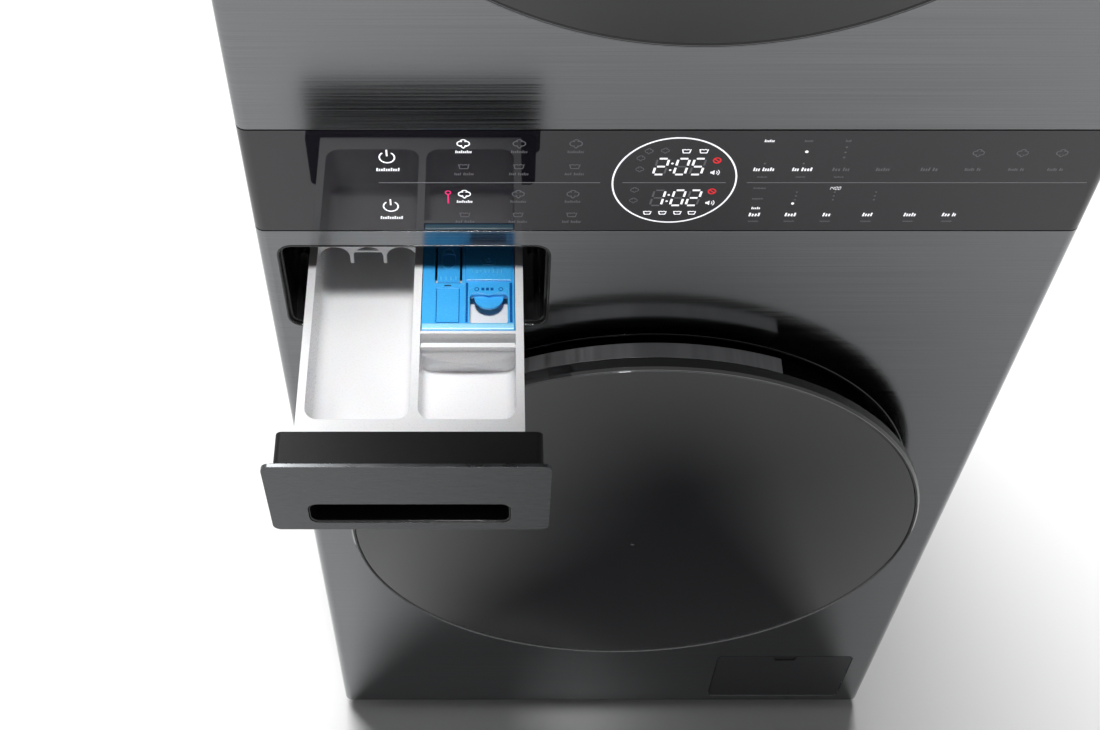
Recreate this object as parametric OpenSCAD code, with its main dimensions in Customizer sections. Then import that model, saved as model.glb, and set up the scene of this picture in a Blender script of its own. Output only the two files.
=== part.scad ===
// Stacked laundry tower: a front load washer below, a heat pump dryer above and one
// control panel between them, with the washer's detergent drawer pulled out.
// Millimetres, +Z up, the front looks along -Y, the feet stand on Z = 0.

/* [Cabinet] */
// Width of the cabinet
cab_w = 600; // [596:1:680]
// Depth of the cabinet from its front plane to its rear edge
cab_d = 660; // [640:1:760]
// Height of the levelling feet under the cabinet
foot_h = 15; // [12:1:25]
// Height of the washer's front panel
washer_h = 840; // [830:1:900]
// Height of the control panel
panel_h = 103; // [96:1:120]
// Height of the dryer's front panel
dryer_h = 682; // [670:1:760]
// Height of the top cover
cover_h = 15; // [10:1:30]
// Thickness of the sheet steel
sheet_t = 1; // [0.8:0.1:1.5]
// Radius of the cabinet's vertical front corners
corner_r = 8; // [4:0.5:12]
// Shadow gap between the front panels
seam = 1.2; // [0.5:0.1:3]
// Depth of the front panels' folded side returns
front_return = 24; // [20:1:40]
// Width of the folded flanges on the sheet panels
flange_w = 14; // [8:1:20]
// Depth by which the rear panels sit inside the side panels' rear edges
rear_inset = 6; // [4:0.5:12]
// Radius of a levelling foot's pad
foot_r = 22; // [15:1:26]

/* [Doors] */
// Gap between both doors and the cabinet's outer sides
door_gap_x = 44.4; // [42:0.2:48]
// Width by which a door laps over the round recess that it closes
door_lap = 8.6; // [6.6:0.2:10]
// Depth of that recess
recess_d = 25; // [23:0.5:32]
// Gap between the front plane and the back of the door's outer ring
door_gap = 27; // [24:0.5:34]
// Thickness of the door's outer ring
ring_t = 11; // [9:0.5:16]
// Rise of the domed front glass above the ring's edge
dome_rise = 13.5; // [6:0.5:18]
// Thickness of the domed front glass
dome_t = 4; // [3:0.5:5]
// Gap between the door's inner frame and the recess wall
frame_gap = 19; // [18:1:25]
// Gap between the glass bowl and the mouth it closes
bowl_gap = 16; // [15:0.5:22]
// Depth to which the glass bowl reaches behind the front plane
bowl_d = 90; // [70:1:94]
// Wall of the glass bowl
bowl_t = 5; // [4:0.5:7]
// Height of the dryer door's centre above the dryer's lower edge
dryer_axis_h = 362; // [355:1:380]
// Distance of the hinge axis in from the door's left edge
hinge_in = 3.6; // [2:0.2:4.4]
// Distance of the hinge axis in front of the front plane
hinge_out = 14; // [13:0.5:15]
// Radius of the hinge knuckles
knuckle_r = 5.5; // [5:0.5:7]
// Radius of the hinge pins
hinge_pin_r = 3; // [2:0.5:3.5]

/* [Detergent drawer] */
// Distance of the drawer's opening in from the cabinet's left side
slot_in = 15.3; // [14:0.1:18]
// Width of the drawer's opening in the front panel
slot_w = 199.7; // [196:0.1:201]
// Height of the drawer's opening
slot_h = 94.5; // [92:0.5:96]
// Height of the panel strip above the opening
slot_top = 18.5; // [16:0.5:24]
// Corner radius of the opening
slot_r = 10; // [4:0.5:12]
// Distance by which the drawer is pulled out
drawer_out = 185; // [120:1:200]
// Gap round the front plate's sides and foot when the drawer is shut
plate_gap = 1.6; // [0.8:0.1:2]
// Reveal above the front plate when the drawer is shut
plate_reveal = 9; // [2:0.5:12]
// Thickness of the front plate
plate_t = 3; // [2:0.5:4]
// Width of the black block behind the plate
block_w = 187; // [180:1:188]
// Depth of the black block
block_d = 39; // [32:1:40]
// Width of the white box
box_w = 162; // [156:1:166]
// Length of the white box
box_l = 253; // [235:1:262]
// Height of the white box
box_h = 52; // [44:1:56]
// Space from the opening's lower edge to the box's underside
box_lift = 9; // [7:0.5:11]
// Wall of the white box
box_wall = 6; // [4:0.5:7]
// Floor of the white box
box_floor = 4; // [3:0.5:6]
// Width of the main wash compartment
main_w = 74.2; // [66:0.1:76]
// Corner radius of the compartments
well_r = 10; // [6:0.5:14]
// Thickness of the front wall of the compartments
box_front = 13; // [8:0.5:16]
// Width of the handle slot in the front plate
grip_w = 142; // [110:1:150]
// Height of the handle slot
grip_h = 26; // [20:1:30]
// Depth of the handle pocket
grip_d = 30; // [20:1:34]
// Length of the softener insert
insert_l = 155; // [140:1:158]

/* [Washer] */
// Gap between the tub and the cabinet's outer side
tub_gap = 38; // [36:1:42]
// Depth of the tub's top below the control panel
tub_drop = 112; // [110:1:130]
// Length of the tub
tub_l = 405; // [390:1:410]
// Wall of the tub
tub_t = 3; // [2:0.5:4]
// Gap between the wash drum and the tub's outer face
drum_side_gap = 22; // [14:1:32]
// Gap between the drum's front and the tub's front wall
drum_gap = 15; // [12:1:22]
// Wall of both drums
drum_t = 1.5; // [1.2:0.1:3]
// Width of the tub's front wall round the mouth
mouth_in = 74; // [72:0.5:76]
// Holes round the wash drum in each row
hole_count = 24; // [12:4:36]
// Rows of holes along the wash drum
hole_rows = 6; // [3:1:8]
// Radius of the holes
hole_r = 3; // [2:0.5:4]
// Radius of the drum's shaft
shaft_r = 12.5; // [10:0.5:15]
// Outer radius of the drum bearings
bearing_r = 31; // [26:1:36]
// Outer radius of the motor's rotor
rotor_r = 140; // [130:1:150]
// Teeth on the motor's stator
stator_teeth = 36; // [24:6:48]
// Radius of the drain pump's filter
filter_r = 30; // [26:1:32]
// Width of the pump access cover
hatch_w = 149; // [135:1:152]
// Height of the pump access cover
hatch_h = 105; // [96:1:110]
// Height of the cover's lower edge above the cabinet's lower edge
hatch_z = 13; // [10:1:20]
// Distance of the cover in from the cabinet's right side
hatch_in = 27; // [20:0.5:36]
// Radius of an inlet thread
inlet_r = 13.2; // [12:0.1:14]
// Radius of the drain spigot
drain_r = 10.5; // [9:0.5:12]

/* [Dryer] */
// Gap between the dryer drum and the cabinet's outer side
dryer_gap = 20; // [16:1:28]
// Length of the dryer drum
dryer_l = 480; // [440:1:500]
// Radius of a support roller
roller_r = 30; // [24:1:34]
// Angle of the rollers from the drum's lowest line
roller_angle = 35; // [28:1:40]
// Radius of the motor's belt pulley
pulley_r = 12; // [9:0.5:15]
// Radius of the dryer's motor
motor_r = 50; // [40:1:52]
// Width of the lint filter
lint_w = 210; // [180:1:230]
// Height of the lint filter
lint_h = 105; // [90:1:110]

/* [Clearances] */
// Gap between bodies that pass close to each other
clear = 0.5; // [0.3:0.1:1]
// Radial clearance of pins and shafts in their bores
run = 0.04; // [0.02:0.01:0.08]

/* [Hidden] */
$fn = 96;

// Places along the height
z_panel = foot_h + washer_h;
z_dryer = z_panel + panel_h;
z_top = z_dryer + dryer_h;
tower_h = z_top + cover_h;
dryer_z = z_dryer + dryer_axis_h;
// The depth is counted back from the cabinet's front plane, which lies here
front_y = (drawer_out - cab_d) / 2;
rear_y = cab_d - rear_inset;
side_x = cab_w / 2;
inner_x = side_x - sheet_t;
door_r = side_x - door_gap_x;
recess_r = door_r - door_lap;
tub_r = side_x - tub_gap;
mouth_r = tub_r - mouth_in;
drum_r = tub_r - drum_side_gap;
bowl_r = mouth_r - bowl_gap;
frame_r = recess_r - frame_gap;
dryer_r = side_x - dryer_gap;
drawer_x = side_x - slot_in - slot_w / 2;
hatch_x = side_x - hatch_in - hatch_w / 2;
washer_z = z_panel - tub_drop - tub_r;
// Base and decks
pan_h = 20;
foot_inset = 50;
foot_pad_h = 8;
stem_r = 5;
deck_z = z_dryer - 13;
deck_rim = 12;
deck_y = 64;
fascia_t = 3;
housing_d = 56;
housing_t = 2.5;
board_t = 1.6;
board_y = 14;
display_r = 42;
// Doors
ring_y = -door_gap;
ring_front = -door_gap - ring_t;
glass_r = door_r - 4.4;
glass_edge = 3.5;
ledge_w = 20;
frame_t = 3;
frame_back = 12;
hinge_x = hinge_in - door_r;
hinge_half = 40;
leaf_half = 15;
leaf_t = 3;
latch_x = frame_r - 12;
latch_w = 8;
latch_half = 5;
latch_l = 22;
bridge_angle = 23.8;
bridge_t = 12;
bridge_d = 14;
// Porthole surrounds
surround_t = 2;
wall_slope = 7;
collar_r = mouth_r;
collar_d = 15;
// Drawer
slot_z1 = z_panel - slot_top;
slot_z0 = slot_z1 - slot_h;
slot_x0 = -drawer_x - slot_w / 2;
lip_y = 3;
lip_t = 2.2;
lip_d = 44;
plate_w = slot_w - 2 * plate_gap;
plate_h = slot_h - plate_gap - plate_reveal;
plate_y = -drawer_out;
block_y = plate_y + plate_t;
box_y0 = block_y + block_d;
shut_y = box_y0 + drawer_out - 1;
buffer_r = 4;
buffer_in = 10.5;
buffer_up = 33.5;
box_y1 = box_y0 + box_l;
box_x0 = -drawer_x - box_w / 2;
box_z = slot_z0 + box_lift;
rim_z = box_z + box_h;
well_z = box_z + box_floor;
main_x0 = box_x0 + box_wall;
small_x0 = main_x0 + main_w + box_wall;
small_x1 = box_x0 + box_w - box_wall;
small_w = small_x1 - small_x0;
well_foot = well_r - 2;
well_y0 = box_y0 + box_front;
well_y1 = box_y1 - box_wall;
block_rise = 4;
block_z0 = slot_z0 + 5;
grip_z0 = slot_z0 + 11;
housing_y1 = box_y1 + drawer_out + 35;
rail_gap = 1;
roof_z = slot_z1 - 5;
roof_t = 3;
comb_y = box_y1 - 78;
post_w = 2.6;
// Softener insert and flap
skin = 2;
insert_x0 = small_x0 + clear;
insert_x1 = small_x1 - clear;
insert_y1 = well_y1 - clear;
insert_y0 = insert_y1 - insert_l;
insert_z = rim_z - 1.5;
divider_t = 2.5;
divider_y = insert_y0 - clear - divider_t;
tab_x0 = insert_x0 + 10.8;
tab_w = 17;
tab_gap = 1.8;
tab_y = insert_y0 + 45.5;
tab_l = 82;
tab_hook = 13;
hook_l = 6;
stop_t = 4.5;
stop_gap = 0.5;
stop_y = tab_y + tab_l - hook_l - stop_gap - stop_t;
stop_z = insert_z + tab_hook - 1;
siphon_x = small_x0 + 52;
siphon_y = insert_y1 - 40;
siphon_r = 4;
window_x0 = insert_x0 + 35.5;
window_y0 = insert_y0 + 6.8;
window_w = 28.2;
window_l = 27.8;
flap_y = divider_y - 5;
flap_z = rim_z - 9.5;
flap_pin_r = 1.5;
flap_h = 20;
// Washer
tub_y0 = 70;
tub_y1 = tub_y0 + tub_l;
tub_split = tub_y0 + 175;
spider_t = 14;
bearing_t = 14;
hub_y0 = tub_y1 - tub_t - 14;
hub_y1 = tub_y1 + 22;
drum_y0 = tub_y0 + drum_gap;
drum_y1 = hub_y0 - 4 - spider_t;
shaft_y1 = tub_y1 + 62;
stator_y = tub_y1 + 14;
sump_x = hatch_x - 94.5;
sump_y = tub_split + 36;
sump_z = washer_z - tub_r - 2;
hose_r = 14;
hose_bend = 40;
spring_x = tub_r - 57;
spring_y = tub_y0 + 300;
spring_z = washer_z + sqrt(tub_r * tub_r - spring_x * spring_x) + 12;
damper_x0 = tub_r - 12;
damper_x1 = tub_r - 112;
damper_y = tub_split + 90;
damper_z1 = washer_z - sqrt(tub_r * tub_r - damper_x1 * damper_x1) - 14;
stator_d = 26;
gap_motor = 1;
filter_z = foot_h + hatch_z + 53;
filter_y = 16;
pump_in_y = filter_y + 74;
hatch_x0 = hatch_x - hatch_w / 2;
hatch_z0 = foot_h + hatch_z;
hatch_t = 2.5;
hatch_pin_r = 2;
hatch_pin_up = 9.5;
hatch_pin_in = 5;
valve_x = side_x - 100;
valve_gap = 46;
valve_z = z_panel - 60;
spigot_l = 20;
fitting_in = 4;
drain_x = 115 - side_x;
drain_z = foot_h + 60;
bolt_r = rotor_r + 65;
gland_r = 5;
gland_l = 10;
gland_z = z_panel - 60;
// Dryer
dryer_y0 = 72;
dryer_y1 = dryer_y0 + dryer_l;
bulkhead_t = 6;
roller_reach = dryer_r + clear + roller_r;
roller_x = roller_reach * sin(roller_angle);
roller_z = dryer_z - roller_reach * cos(roller_angle);
roller_w = 20;
roller_pin_r = 6;
roller_y = dryer_y1 - roller_w - 12;
motor_x = side_x - 100;
motor_z = deck_z + sheet_t + 26 + motor_r;
motor_y = 330;
motor_l = 130;
belt_y = motor_y - 40;
belt_w = 12;
belt_t = 2;
lint_z0 = dryer_z - collar_r - lint_h;
lint_y0 = dryer_y0 - clear - 8 - bulkhead_t + 1;
lint_t = 8;
coil_in = 30;
coil_y = 150;
coil_d = 96;
coil_h = 84;
coil_gap = 16;
fin_count = 24;
fin_pitch = 6;
fin_t = 1.2;
pipe_r = 5;
compressor_r = 52;
compressor_gap = 50;

// ---------------------------------------------------------------- shared shapes

// Puts what is drawn from the front plane into the tower's own frame
module placed() {
  translate([0, front_y, 0])
    children();
}

// A box from its lowest corner to its highest
module block(low, high) {
  translate(low)
    cube(high - low);
}

// A rectangle with true round corners
module round_rect(x0, z0, w, h, r) {
  translate([x0 + r, z0])
    square([w - 2 * r, h]);
  translate([x0, z0 + r])
    square([w, h - 2 * r]);
  for (x = [x0 + r, x0 + w - r], z = [z0 + r, z0 + h - r])
    translate([x, z])
      circle(r);
}

// Extrudes an outline drawn in X and Z from y0 back to y1
module along_y(y0, y1) {
  translate([0, y1, 0])
    rotate([90, 0, 0])
      linear_extrude(y1 - y0)
        children();
}

// Extrudes an outline drawn in X and Y from z0 up to z1
module along_z(z0, z1) {
  translate([0, 0, z0])
    linear_extrude(z1 - z0)
      children();
}

// Turns an outline of radius and depth about an axis along Y at height z
module turned(z, x = 0) {
  translate([x, 0, z])
    rotate([-90, 0, 0])
      rotate_extrude()
        children();
}

// A ring in a turned outline
module band(r0, r1, y0, y1) {
  translate([r0, y0])
    square([r1 - r0, y1 - y0]);
}

// A cylinder along Y
module rod_y(x, z, r, y0, y1) {
  translate([x, y0, z])
    rotate([-90, 0, 0])
      cylinder(r = r, h = y1 - y0);
}

// A cylinder along X
module rod_x(y, z, r, x0, x1) {
  translate([x0, y, z])
    rotate([0, 90, 0])
      cylinder(r = r, h = x1 - x0);
}

// A cylinder along Z
module rod_z(x, y, r, z0, z1) {
  translate([x, y, z0])
    cylinder(r = r, h = z1 - z0);
}

// Points of a shallow dome: radius and depth, from the middle out to its edge
function dome(r, y_top, rise, steps) =
  let (big = (r * r + rise * rise) / (2 * abs(rise)))
  [for (i = [0 : steps])
    let (a = r * i / steps) [a, y_top + sign(rise) * (big - sqrt(big * big - a * a))]];

// The reverse of a list of points
function back(points) = [for (i = [len(points) - 1 : -1 : 0]) points[i]];

// ---------------------------------------------------------------- cabinet

// Plan of a front panel: flat face, round corners and side returns, inset by d
module front_plan(d) {
  r = corner_r - d;
  translate([-side_x + corner_r, d])
    square([cab_w - 2 * corner_r, front_return - d]);
  translate([-side_x + d, corner_r])
    square([cab_w - 2 * d, front_return - corner_r]);
  for (x = [-side_x + corner_r, side_x - corner_r])
    translate([x, corner_r])
      circle(r);
}

// A folded front panel between two heights, with stiffening flanges at both ends
module front_shell(z0, z1, t) {
  difference() {
    along_z(z0, z1)
      front_plan(0);
    along_z(z0 + t, z1 - t)
      difference() {
        front_plan(t);
        translate([-side_x, front_return])
          square([cab_w, t]);
      }
    along_z(z0 - 1, z1 + 1)
      translate([-side_x + flange_w, flange_w])
        square([cab_w - 2 * flange_w, front_return]);
    along_z(z0 + t, z1 - t)
      translate([-side_x + t, corner_r])
        square([cab_w - 2 * t, front_return]);
  }
}

module base_pan() {
  color("dimgray")
    placed()
      difference() {
        block([-inner_x, front_return, foot_h], [inner_x, rear_y - sheet_t, foot_h + pan_h]);
        block([-inner_x + sheet_t, front_return + sheet_t, foot_h + sheet_t],
              [inner_x - sheet_t, rear_y - 2 * sheet_t, foot_h + pan_h + 1]);
        feet_places()
          rod_z(0, 0, stem_r + run, foot_h - 1, foot_h + pan_h);
      }
}

// The four places of the feet
module feet_places() {
  for (x = [-side_x + foot_inset, side_x - foot_inset], y = [foot_inset + 20, cab_d - foot_inset - 20])
    translate([x, y, 0])
      children();
}

module levelling_feet() {
  color("#202022")
    placed()
      feet_places() {
        rod_z(0, 0, foot_r, 0, foot_pad_h);
        rod_z(0, 0, foot_r * 0.6, foot_pad_h, foot_h);
        rod_z(0, 0, stem_r, foot_h, foot_h + pan_h);
      }
}

// A side panel: one sheet with flanges folded in at the front, rear, top and bottom
module side_panel(s) {
  x_out = s * side_x;
  x_in = s * inner_x;
  x_flange = s * (side_x - flange_w);
  color("#2b2c2f")
    placed() {
      block([min(x_out, x_in), front_return, foot_h], [max(x_out, x_in), cab_d, z_top]);
      for (y = [front_return, cab_d - sheet_t])
        block([min(x_out, x_flange), y, foot_h + pan_h + sheet_t],
              [max(x_out, x_flange), y + sheet_t, z_top]);
      block([min(x_out, x_flange), front_return, z_top - sheet_t],
            [max(x_out, x_flange), cab_d, z_top]);
    }
}

module left_side_panel() {
  side_panel(-1);
}

module right_side_panel() {
  side_panel(1);
}

// The flat rear sheet between two heights, before its openings
module rear_sheet(z0, z1) {
  block([-inner_x, rear_y - sheet_t, z0], [inner_x, rear_y, z1]);
}

module lower_rear_panel() {
  color("#8f9294")
    placed()
      difference() {
        union() {
          rear_sheet(foot_h, z_panel);
          rod_y(0, washer_z, rotor_r + 30, rear_y - 8, rear_y - sheet_t);
          rod_y(drain_x, gland_z, gland_r + 4, rear_y - gland_l, rear_y - sheet_t);
        }
        rod_y(0, washer_z, rotor_r + 28, rear_y - 8 + sheet_t, rear_y + 1);
        for (a = [45 : 90 : 315])
          translate([bolt_r * cos(a), 0, washer_z + bolt_r * sin(a)])
            rod_y(0, 0, 9, rear_y - 10, rear_y + 1);
        block([valve_x - valve_gap / 2 - 24, rear_y - 2, valve_z - 24],
              [valve_x + valve_gap / 2 + 24, rear_y + 1, valve_z + 24]);
        rod_y(drain_x, drain_z, drain_r + 9, rear_y - 2, rear_y + 1);
        rod_y(drain_x, gland_z, gland_r, rear_y - gland_l - 1, rear_y + 1);
        for (i = [0 : 9])
          block([-180 + 28 * i, rear_y - 2, foot_h + 60], [-174 + 28 * i, rear_y + 1, foot_h + 110]);
      }
}

module upper_rear_panel() {
  color("#8f9294")
    placed()
      difference() {
        union() {
          rear_sheet(z_panel, z_top - sheet_t);
          rod_y(0, dryer_z, dryer_r - 70, rear_y - 8, rear_y - sheet_t);
        }
        rod_y(0, dryer_z, dryer_r - 72, rear_y - 8 + sheet_t, rear_y + 1);
        for (i = [0 : 11], j = [0 : 2])
          block([-165 + 28 * i, rear_y - 2, deck_z + 30 + 34 * j],
                [-159 + 28 * i, rear_y + 1, deck_z + 56 + 34 * j]);
      }
}

module top_cover() {
  lid = 3;
  color("#2b2c2f")
    placed()
      difference() {
        along_z(z_top, tower_h)
          cover_plan(0);
        along_z(z_top - 1, tower_h - lid)
          cover_plan(5);
      }
}

// Plan of the top cover: round front corners, square rear ones, inset by d
module cover_plan(d) {
  r = corner_r;
  translate([-side_x + r + d, d])
    square([cab_w - 2 * r - 2 * d, cab_d - 2 * d]);
  translate([-side_x + d, r + d])
    square([cab_w - 2 * d, cab_d - r - 2 * d]);
  for (x = [-side_x + r + d, side_x - r - d])
    translate([x, r + d])
      circle(r);
}

module mid_deck() {
  color("silver")
    placed()
      difference() {
        block([-inner_x, deck_y, deck_z], [inner_x, rear_y - sheet_t, deck_z + deck_rim]);
        block([-inner_x + sheet_t, deck_y + sheet_t, deck_z + sheet_t],
              [inner_x - sheet_t, rear_y - 2 * sheet_t, deck_z + deck_rim + 1]);
      }
}

module washer_front_panel() {
  color("#3a3c3f")
    placed() {
      difference() {
        front_shell(foot_h, z_panel - seam, sheet_t);
        rod_y(0, washer_z, recess_r, -1, 5);
        along_y(-1, 5)
          round_rect(slot_x0, slot_z0, slot_w, slot_h, slot_r);
        along_y(-1, 5)
          round_rect(hatch_x0 - 0.8, hatch_z0 - 0.8, hatch_w + 1.6, hatch_h + 1.6, 6.8);
        along_z(foot_h - 1, foot_h + 3)
          translate([hatch_x0 - 4, sheet_t])
            square([hatch_w + 8, 14]);
      }
      // Lugs that carry the pump cover's pins
      for (x = [hatch_x0 - 5, hatch_x0 + hatch_w + 1])
        difference() {
          block([x, sheet_t, hatch_z0], [x + 4, hatch_pin_in + 5, hatch_z0 + 14]);
          rod_x(hatch_pin_in, hatch_z0 + hatch_pin_up, hatch_pin_r + run, x - 1, x + 5);
        }
    }
}

module dryer_front_panel() {
  color("#54565a")
    placed()
      difference() {
        front_shell(z_dryer, z_top, sheet_t);
        rod_y(0, dryer_z, recess_r, -1, 5);
      }
}

// ---------------------------------------------------------------- controls

module control_fascia() {
  color("#35353b")
    placed()
      difference() {
        along_z(z_panel, z_dryer - seam)
          front_plan(0);
        along_z(z_panel - 1, z_dryer)
          front_plan(fascia_t);
        along_z(z_panel - 1, z_dryer)
          translate([-side_x + fascia_t, corner_r])
            square([cab_w - 2 * fascia_t, front_return]);
      }
}

module control_housing() {
  wall = housing_t;
  z0 = z_panel + 1;
  z1 = z_dryer - seam - 1;
  color("#1b1b1e")
    placed()
      difference() {
        block([-side_x + fascia_t, corner_r + 2, z0], [side_x - fascia_t, housing_d, z1]);
        block([-side_x + fascia_t + wall, corner_r, z0 + wall],
              [side_x - fascia_t - wall, housing_d - wall, z1 - wall]);
        // Steps back to clear the side panels behind the folded returns
        for (s = [-1, 1])
          block([min(s * (side_x - flange_w - 1), s * side_x), front_return, z0 - 1],
                [max(s * (side_x - flange_w - 1), s * side_x), housing_d + 1, z1 + 1]);
      }
}

module control_board() {
  w = side_x - 70;
  z0 = z_panel + 12;
  z1 = z_dryer - 14;
  color("darkgreen")
    placed() {
      block([-w, board_y, z0], [w, board_y + board_t, z1]);
      for (x = [15 - w, 0, w - 15], z = [z0 + 8, z1 - 8])
        rod_y(x, z, 4, board_y + board_t, housing_d - housing_t);
      block([-display_r, fascia_t, z0 + 4], [display_r, board_y, z1 - 4]);
    }
}

// ---------------------------------------------------------------- portholes and doors

// The dished surround behind a front panel's round opening
module porthole_surround(z) {
  r1 = recess_r - 1;
  r2 = r1 - wall_slope;
  difference() {
    turned(z)
      union() {
        band(r1, r1 + 9, sheet_t, sheet_t + surround_t);
        polygon([[r1, sheet_t], [r1 + surround_t, sheet_t],
                 [r2 + surround_t, recess_d + surround_t],
                 [r2, recess_d + surround_t]]);
        band(collar_r, r2 + surround_t, recess_d, recess_d + surround_t);
        band(collar_r, collar_r + surround_t, recess_d, recess_d + collar_d);
      }
    // Slot for the door's latch hook
    block([latch_x - latch_w, recess_d - 1, z - latch_half - 3],
          [latch_x + latch_w, recess_d + surround_t + 1, z + latch_half + 3]);
  }
}

module washer_porthole_surround() {
  color("#161618")
    placed()
      porthole_surround(washer_z);
}

module dryer_porthole_surround() {
  color("#161618")
    placed()
      porthole_surround(dryer_z);
}

// The cabinet's half of a door hinge: foot, arm, two knuckles and the pin
module hinge_bracket(z) {
  arm_x = hinge_x + 18;
  difference() {
    union() {
      block([arm_x, recess_d - 3, z - hinge_half], [arm_x + 34, recess_d, z + hinge_half]);
      block([arm_x, -hinge_out - 2, z - hinge_half], [arm_x + 4, recess_d, z + hinge_half]);
      block([hinge_x, -hinge_out - 2, z - hinge_half], [arm_x, -hinge_out + 2, z + hinge_half]);
      rod_z(hinge_x, -hinge_out, knuckle_r, z - hinge_half, z + hinge_half);
    }
    rod_z(hinge_x, -hinge_out, knuckle_r + clear + 3, z - leaf_half - clear, z + leaf_half + clear);
    block([hinge_x - 9, -hinge_out - 9, z - leaf_half - clear],
          [arm_x - 2, -hinge_out + 9, z + leaf_half + clear]);
    for (dz = [-26, 26])
      rod_y(arm_x + 20, z + dz, 2.5, recess_d - 4, recess_d + 1);
  }
  rod_z(hinge_x, -hinge_out, hinge_pin_r, z - hinge_half, z + hinge_half);
}

module washer_hinge_bracket() {
  color("silver")
    placed()
      hinge_bracket(washer_z);
}

module dryer_hinge_bracket() {
  color("silver")
    placed()
      hinge_bracket(dryer_z);
}

// The door's half of a hinge: a leaf on the ring's back and one knuckle
module hinge_leaf(z) {
  difference() {
    union() {
      block([hinge_x - 2, ring_y, z - leaf_half],
            [ledge_w - glass_r, ring_y + leaf_t, z + leaf_half]);
      block([hinge_x - 2.5, ring_y + leaf_t, z - leaf_half],
            [hinge_x + 2.5, -hinge_out, z + leaf_half]);
      rod_z(hinge_x, -hinge_out, knuckle_r, z - leaf_half, z + leaf_half);
    }
    rod_z(hinge_x, -hinge_out, hinge_pin_r + run, z - leaf_half - 1, z + leaf_half + 1);
  }
}

module washer_door_leaf() {
  color("silver")
    placed()
      hinge_leaf(washer_z);
}

module dryer_door_leaf() {
  color("silver")
    placed()
      hinge_leaf(dryer_z);
}

// The outer ring of a door: a rim round the glass and the ledge that carries it
module door_ring(z) {
  color("#1c1c1f")
    placed()
      turned(z)
        polygon([
          [door_r - 2, ring_y], [door_r, ring_y - 1.5], [door_r, ring_front + 1.5],
          [door_r - 1.5, ring_front - 0.5], [glass_r + 1, ring_front - 0.5],
          [glass_r, ring_front + 0.5], [glass_r, ring_front + glass_edge],
          [glass_r - ledge_w + 6, ring_front + glass_edge],
          [glass_r - ledge_w, ring_y - 3], [glass_r - ledge_w, ring_y]
        ]);
}

module washer_door_ring() {
  door_ring(washer_z);
}

module dryer_door_ring() {
  door_ring(dryer_z);
}

// The domed cover glass of a door
module door_glass(z) {
  outer = dome(glass_r, ring_front - dome_rise, dome_rise, 24);
  inner = [for (p = outer) [p[0], p[1] + dome_t]];
  color("#26262b", 0.85)
    placed()
      turned(z)
        polygon(concat(outer, [[glass_r, ring_front + glass_edge]],
                       [for (p = back(inner)) if (p[0] < glass_r - 12) p]));
}

module washer_door_glass() {
  door_glass(washer_z);
}

module dryer_door_glass() {
  door_glass(dryer_z);
}

// The hook that the door lock holds, standing on the frame's back
module latch_hook(z) {
  hook_r = 3;
  difference() {
    block([latch_x - 4, frame_back, z - latch_half],
          [latch_x + 4, frame_back + latch_l, z + latch_half]);
    rod_z(latch_x + 2.5, frame_back + latch_l - 7, hook_r, z - latch_half - 1, z + latch_half + 1);
  }
}

module washer_door_frame() {
  color("#1c1c1f")
    placed() {
      turned(washer_z)
        union() {
          band(glass_r - ledge_w - 8, glass_r - ledge_w, ring_y - 3, ring_y);
          band(frame_r - frame_t, glass_r - ledge_w, ring_y, ring_y + frame_t);
          band(frame_r - frame_t, frame_r, ring_y, frame_back);
          band(bowl_r, frame_r, frame_back - frame_t, frame_back);
        }
      latch_hook(washer_z);
    }
}

module washer_door_bowl() {
  flange_y = frame_back - frame_t;
  neck = bowl_r - 4;
  nose = bowl_r - 22;
  color("#cfd8dc", 0.35)
    placed()
      turned(washer_z)
        polygon(concat(
          [[bowl_r + 12, flange_y - bowl_t], [bowl_r + 12, flange_y], [bowl_r, flange_y],
           [neck, 50], [nose + 6, bowl_d - 8]],
          back(dome(nose, bowl_d, -6, 8)),
          dome(nose - bowl_t, bowl_d - bowl_t, -5, 8),
          [[neck - bowl_t, 50], [bowl_r - bowl_t, flange_y - bowl_t]]
        ));
}

// The satin band across the top of the door, behind its ring
module washer_door_bridge() {
  w = door_r * sin(bridge_angle);
  color("#606266")
    placed()
      intersection() {
        turned(washer_z)
          band(door_r - 1 - bridge_t, door_r - 1, ring_y, ring_y + bridge_d);
        along_y(ring_y - 1, ring_y + bridge_d + 1)
          polygon([[0, washer_z], [w * 1.1, washer_z + door_r * 1.1 * cos(bridge_angle)],
                   [w, washer_z + door_r + 10], [-w, washer_z + door_r + 10],
                   [-w * 1.1, washer_z + door_r * 1.1 * cos(bridge_angle)]]);
      }
}

module dryer_door_frame() {
  plug_r = collar_r + 8;
  color("#1c1c1f")
    placed() {
      turned(dryer_z)
        union() {
          band(glass_r - ledge_w - 8, glass_r - ledge_w, ring_y - 3, ring_y);
          band(frame_r - frame_t, glass_r - ledge_w, ring_y, ring_y + frame_t);
          band(frame_r - frame_t, frame_r, ring_y, frame_back);
          band(plug_r - 12 - frame_t, frame_r, frame_back - frame_t, frame_back);
          polygon([[plug_r - 12 - frame_t, frame_back], [plug_r - 12, frame_back],
                   [plug_r - 24, 40], [plug_r - 24 - frame_t, 40]]);
          band(0, plug_r - 24, 37, 40);
        }
      latch_hook(dryer_z);
    }
}

module washer_door_lock() {
  y0 = recess_d + surround_t;
  color("#ececec")
    placed()
      difference() {
        block([latch_x - 15, y0, washer_z - 34], [latch_x + 16, y0 + 13, washer_z + 34]);
        block([latch_x - latch_w, y0 - 1, washer_z - latch_half - 3],
              [latch_x + latch_w, y0 + 10, washer_z + latch_half + 3]);
      }
}

// ---------------------------------------------------------------- detergent drawer

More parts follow.
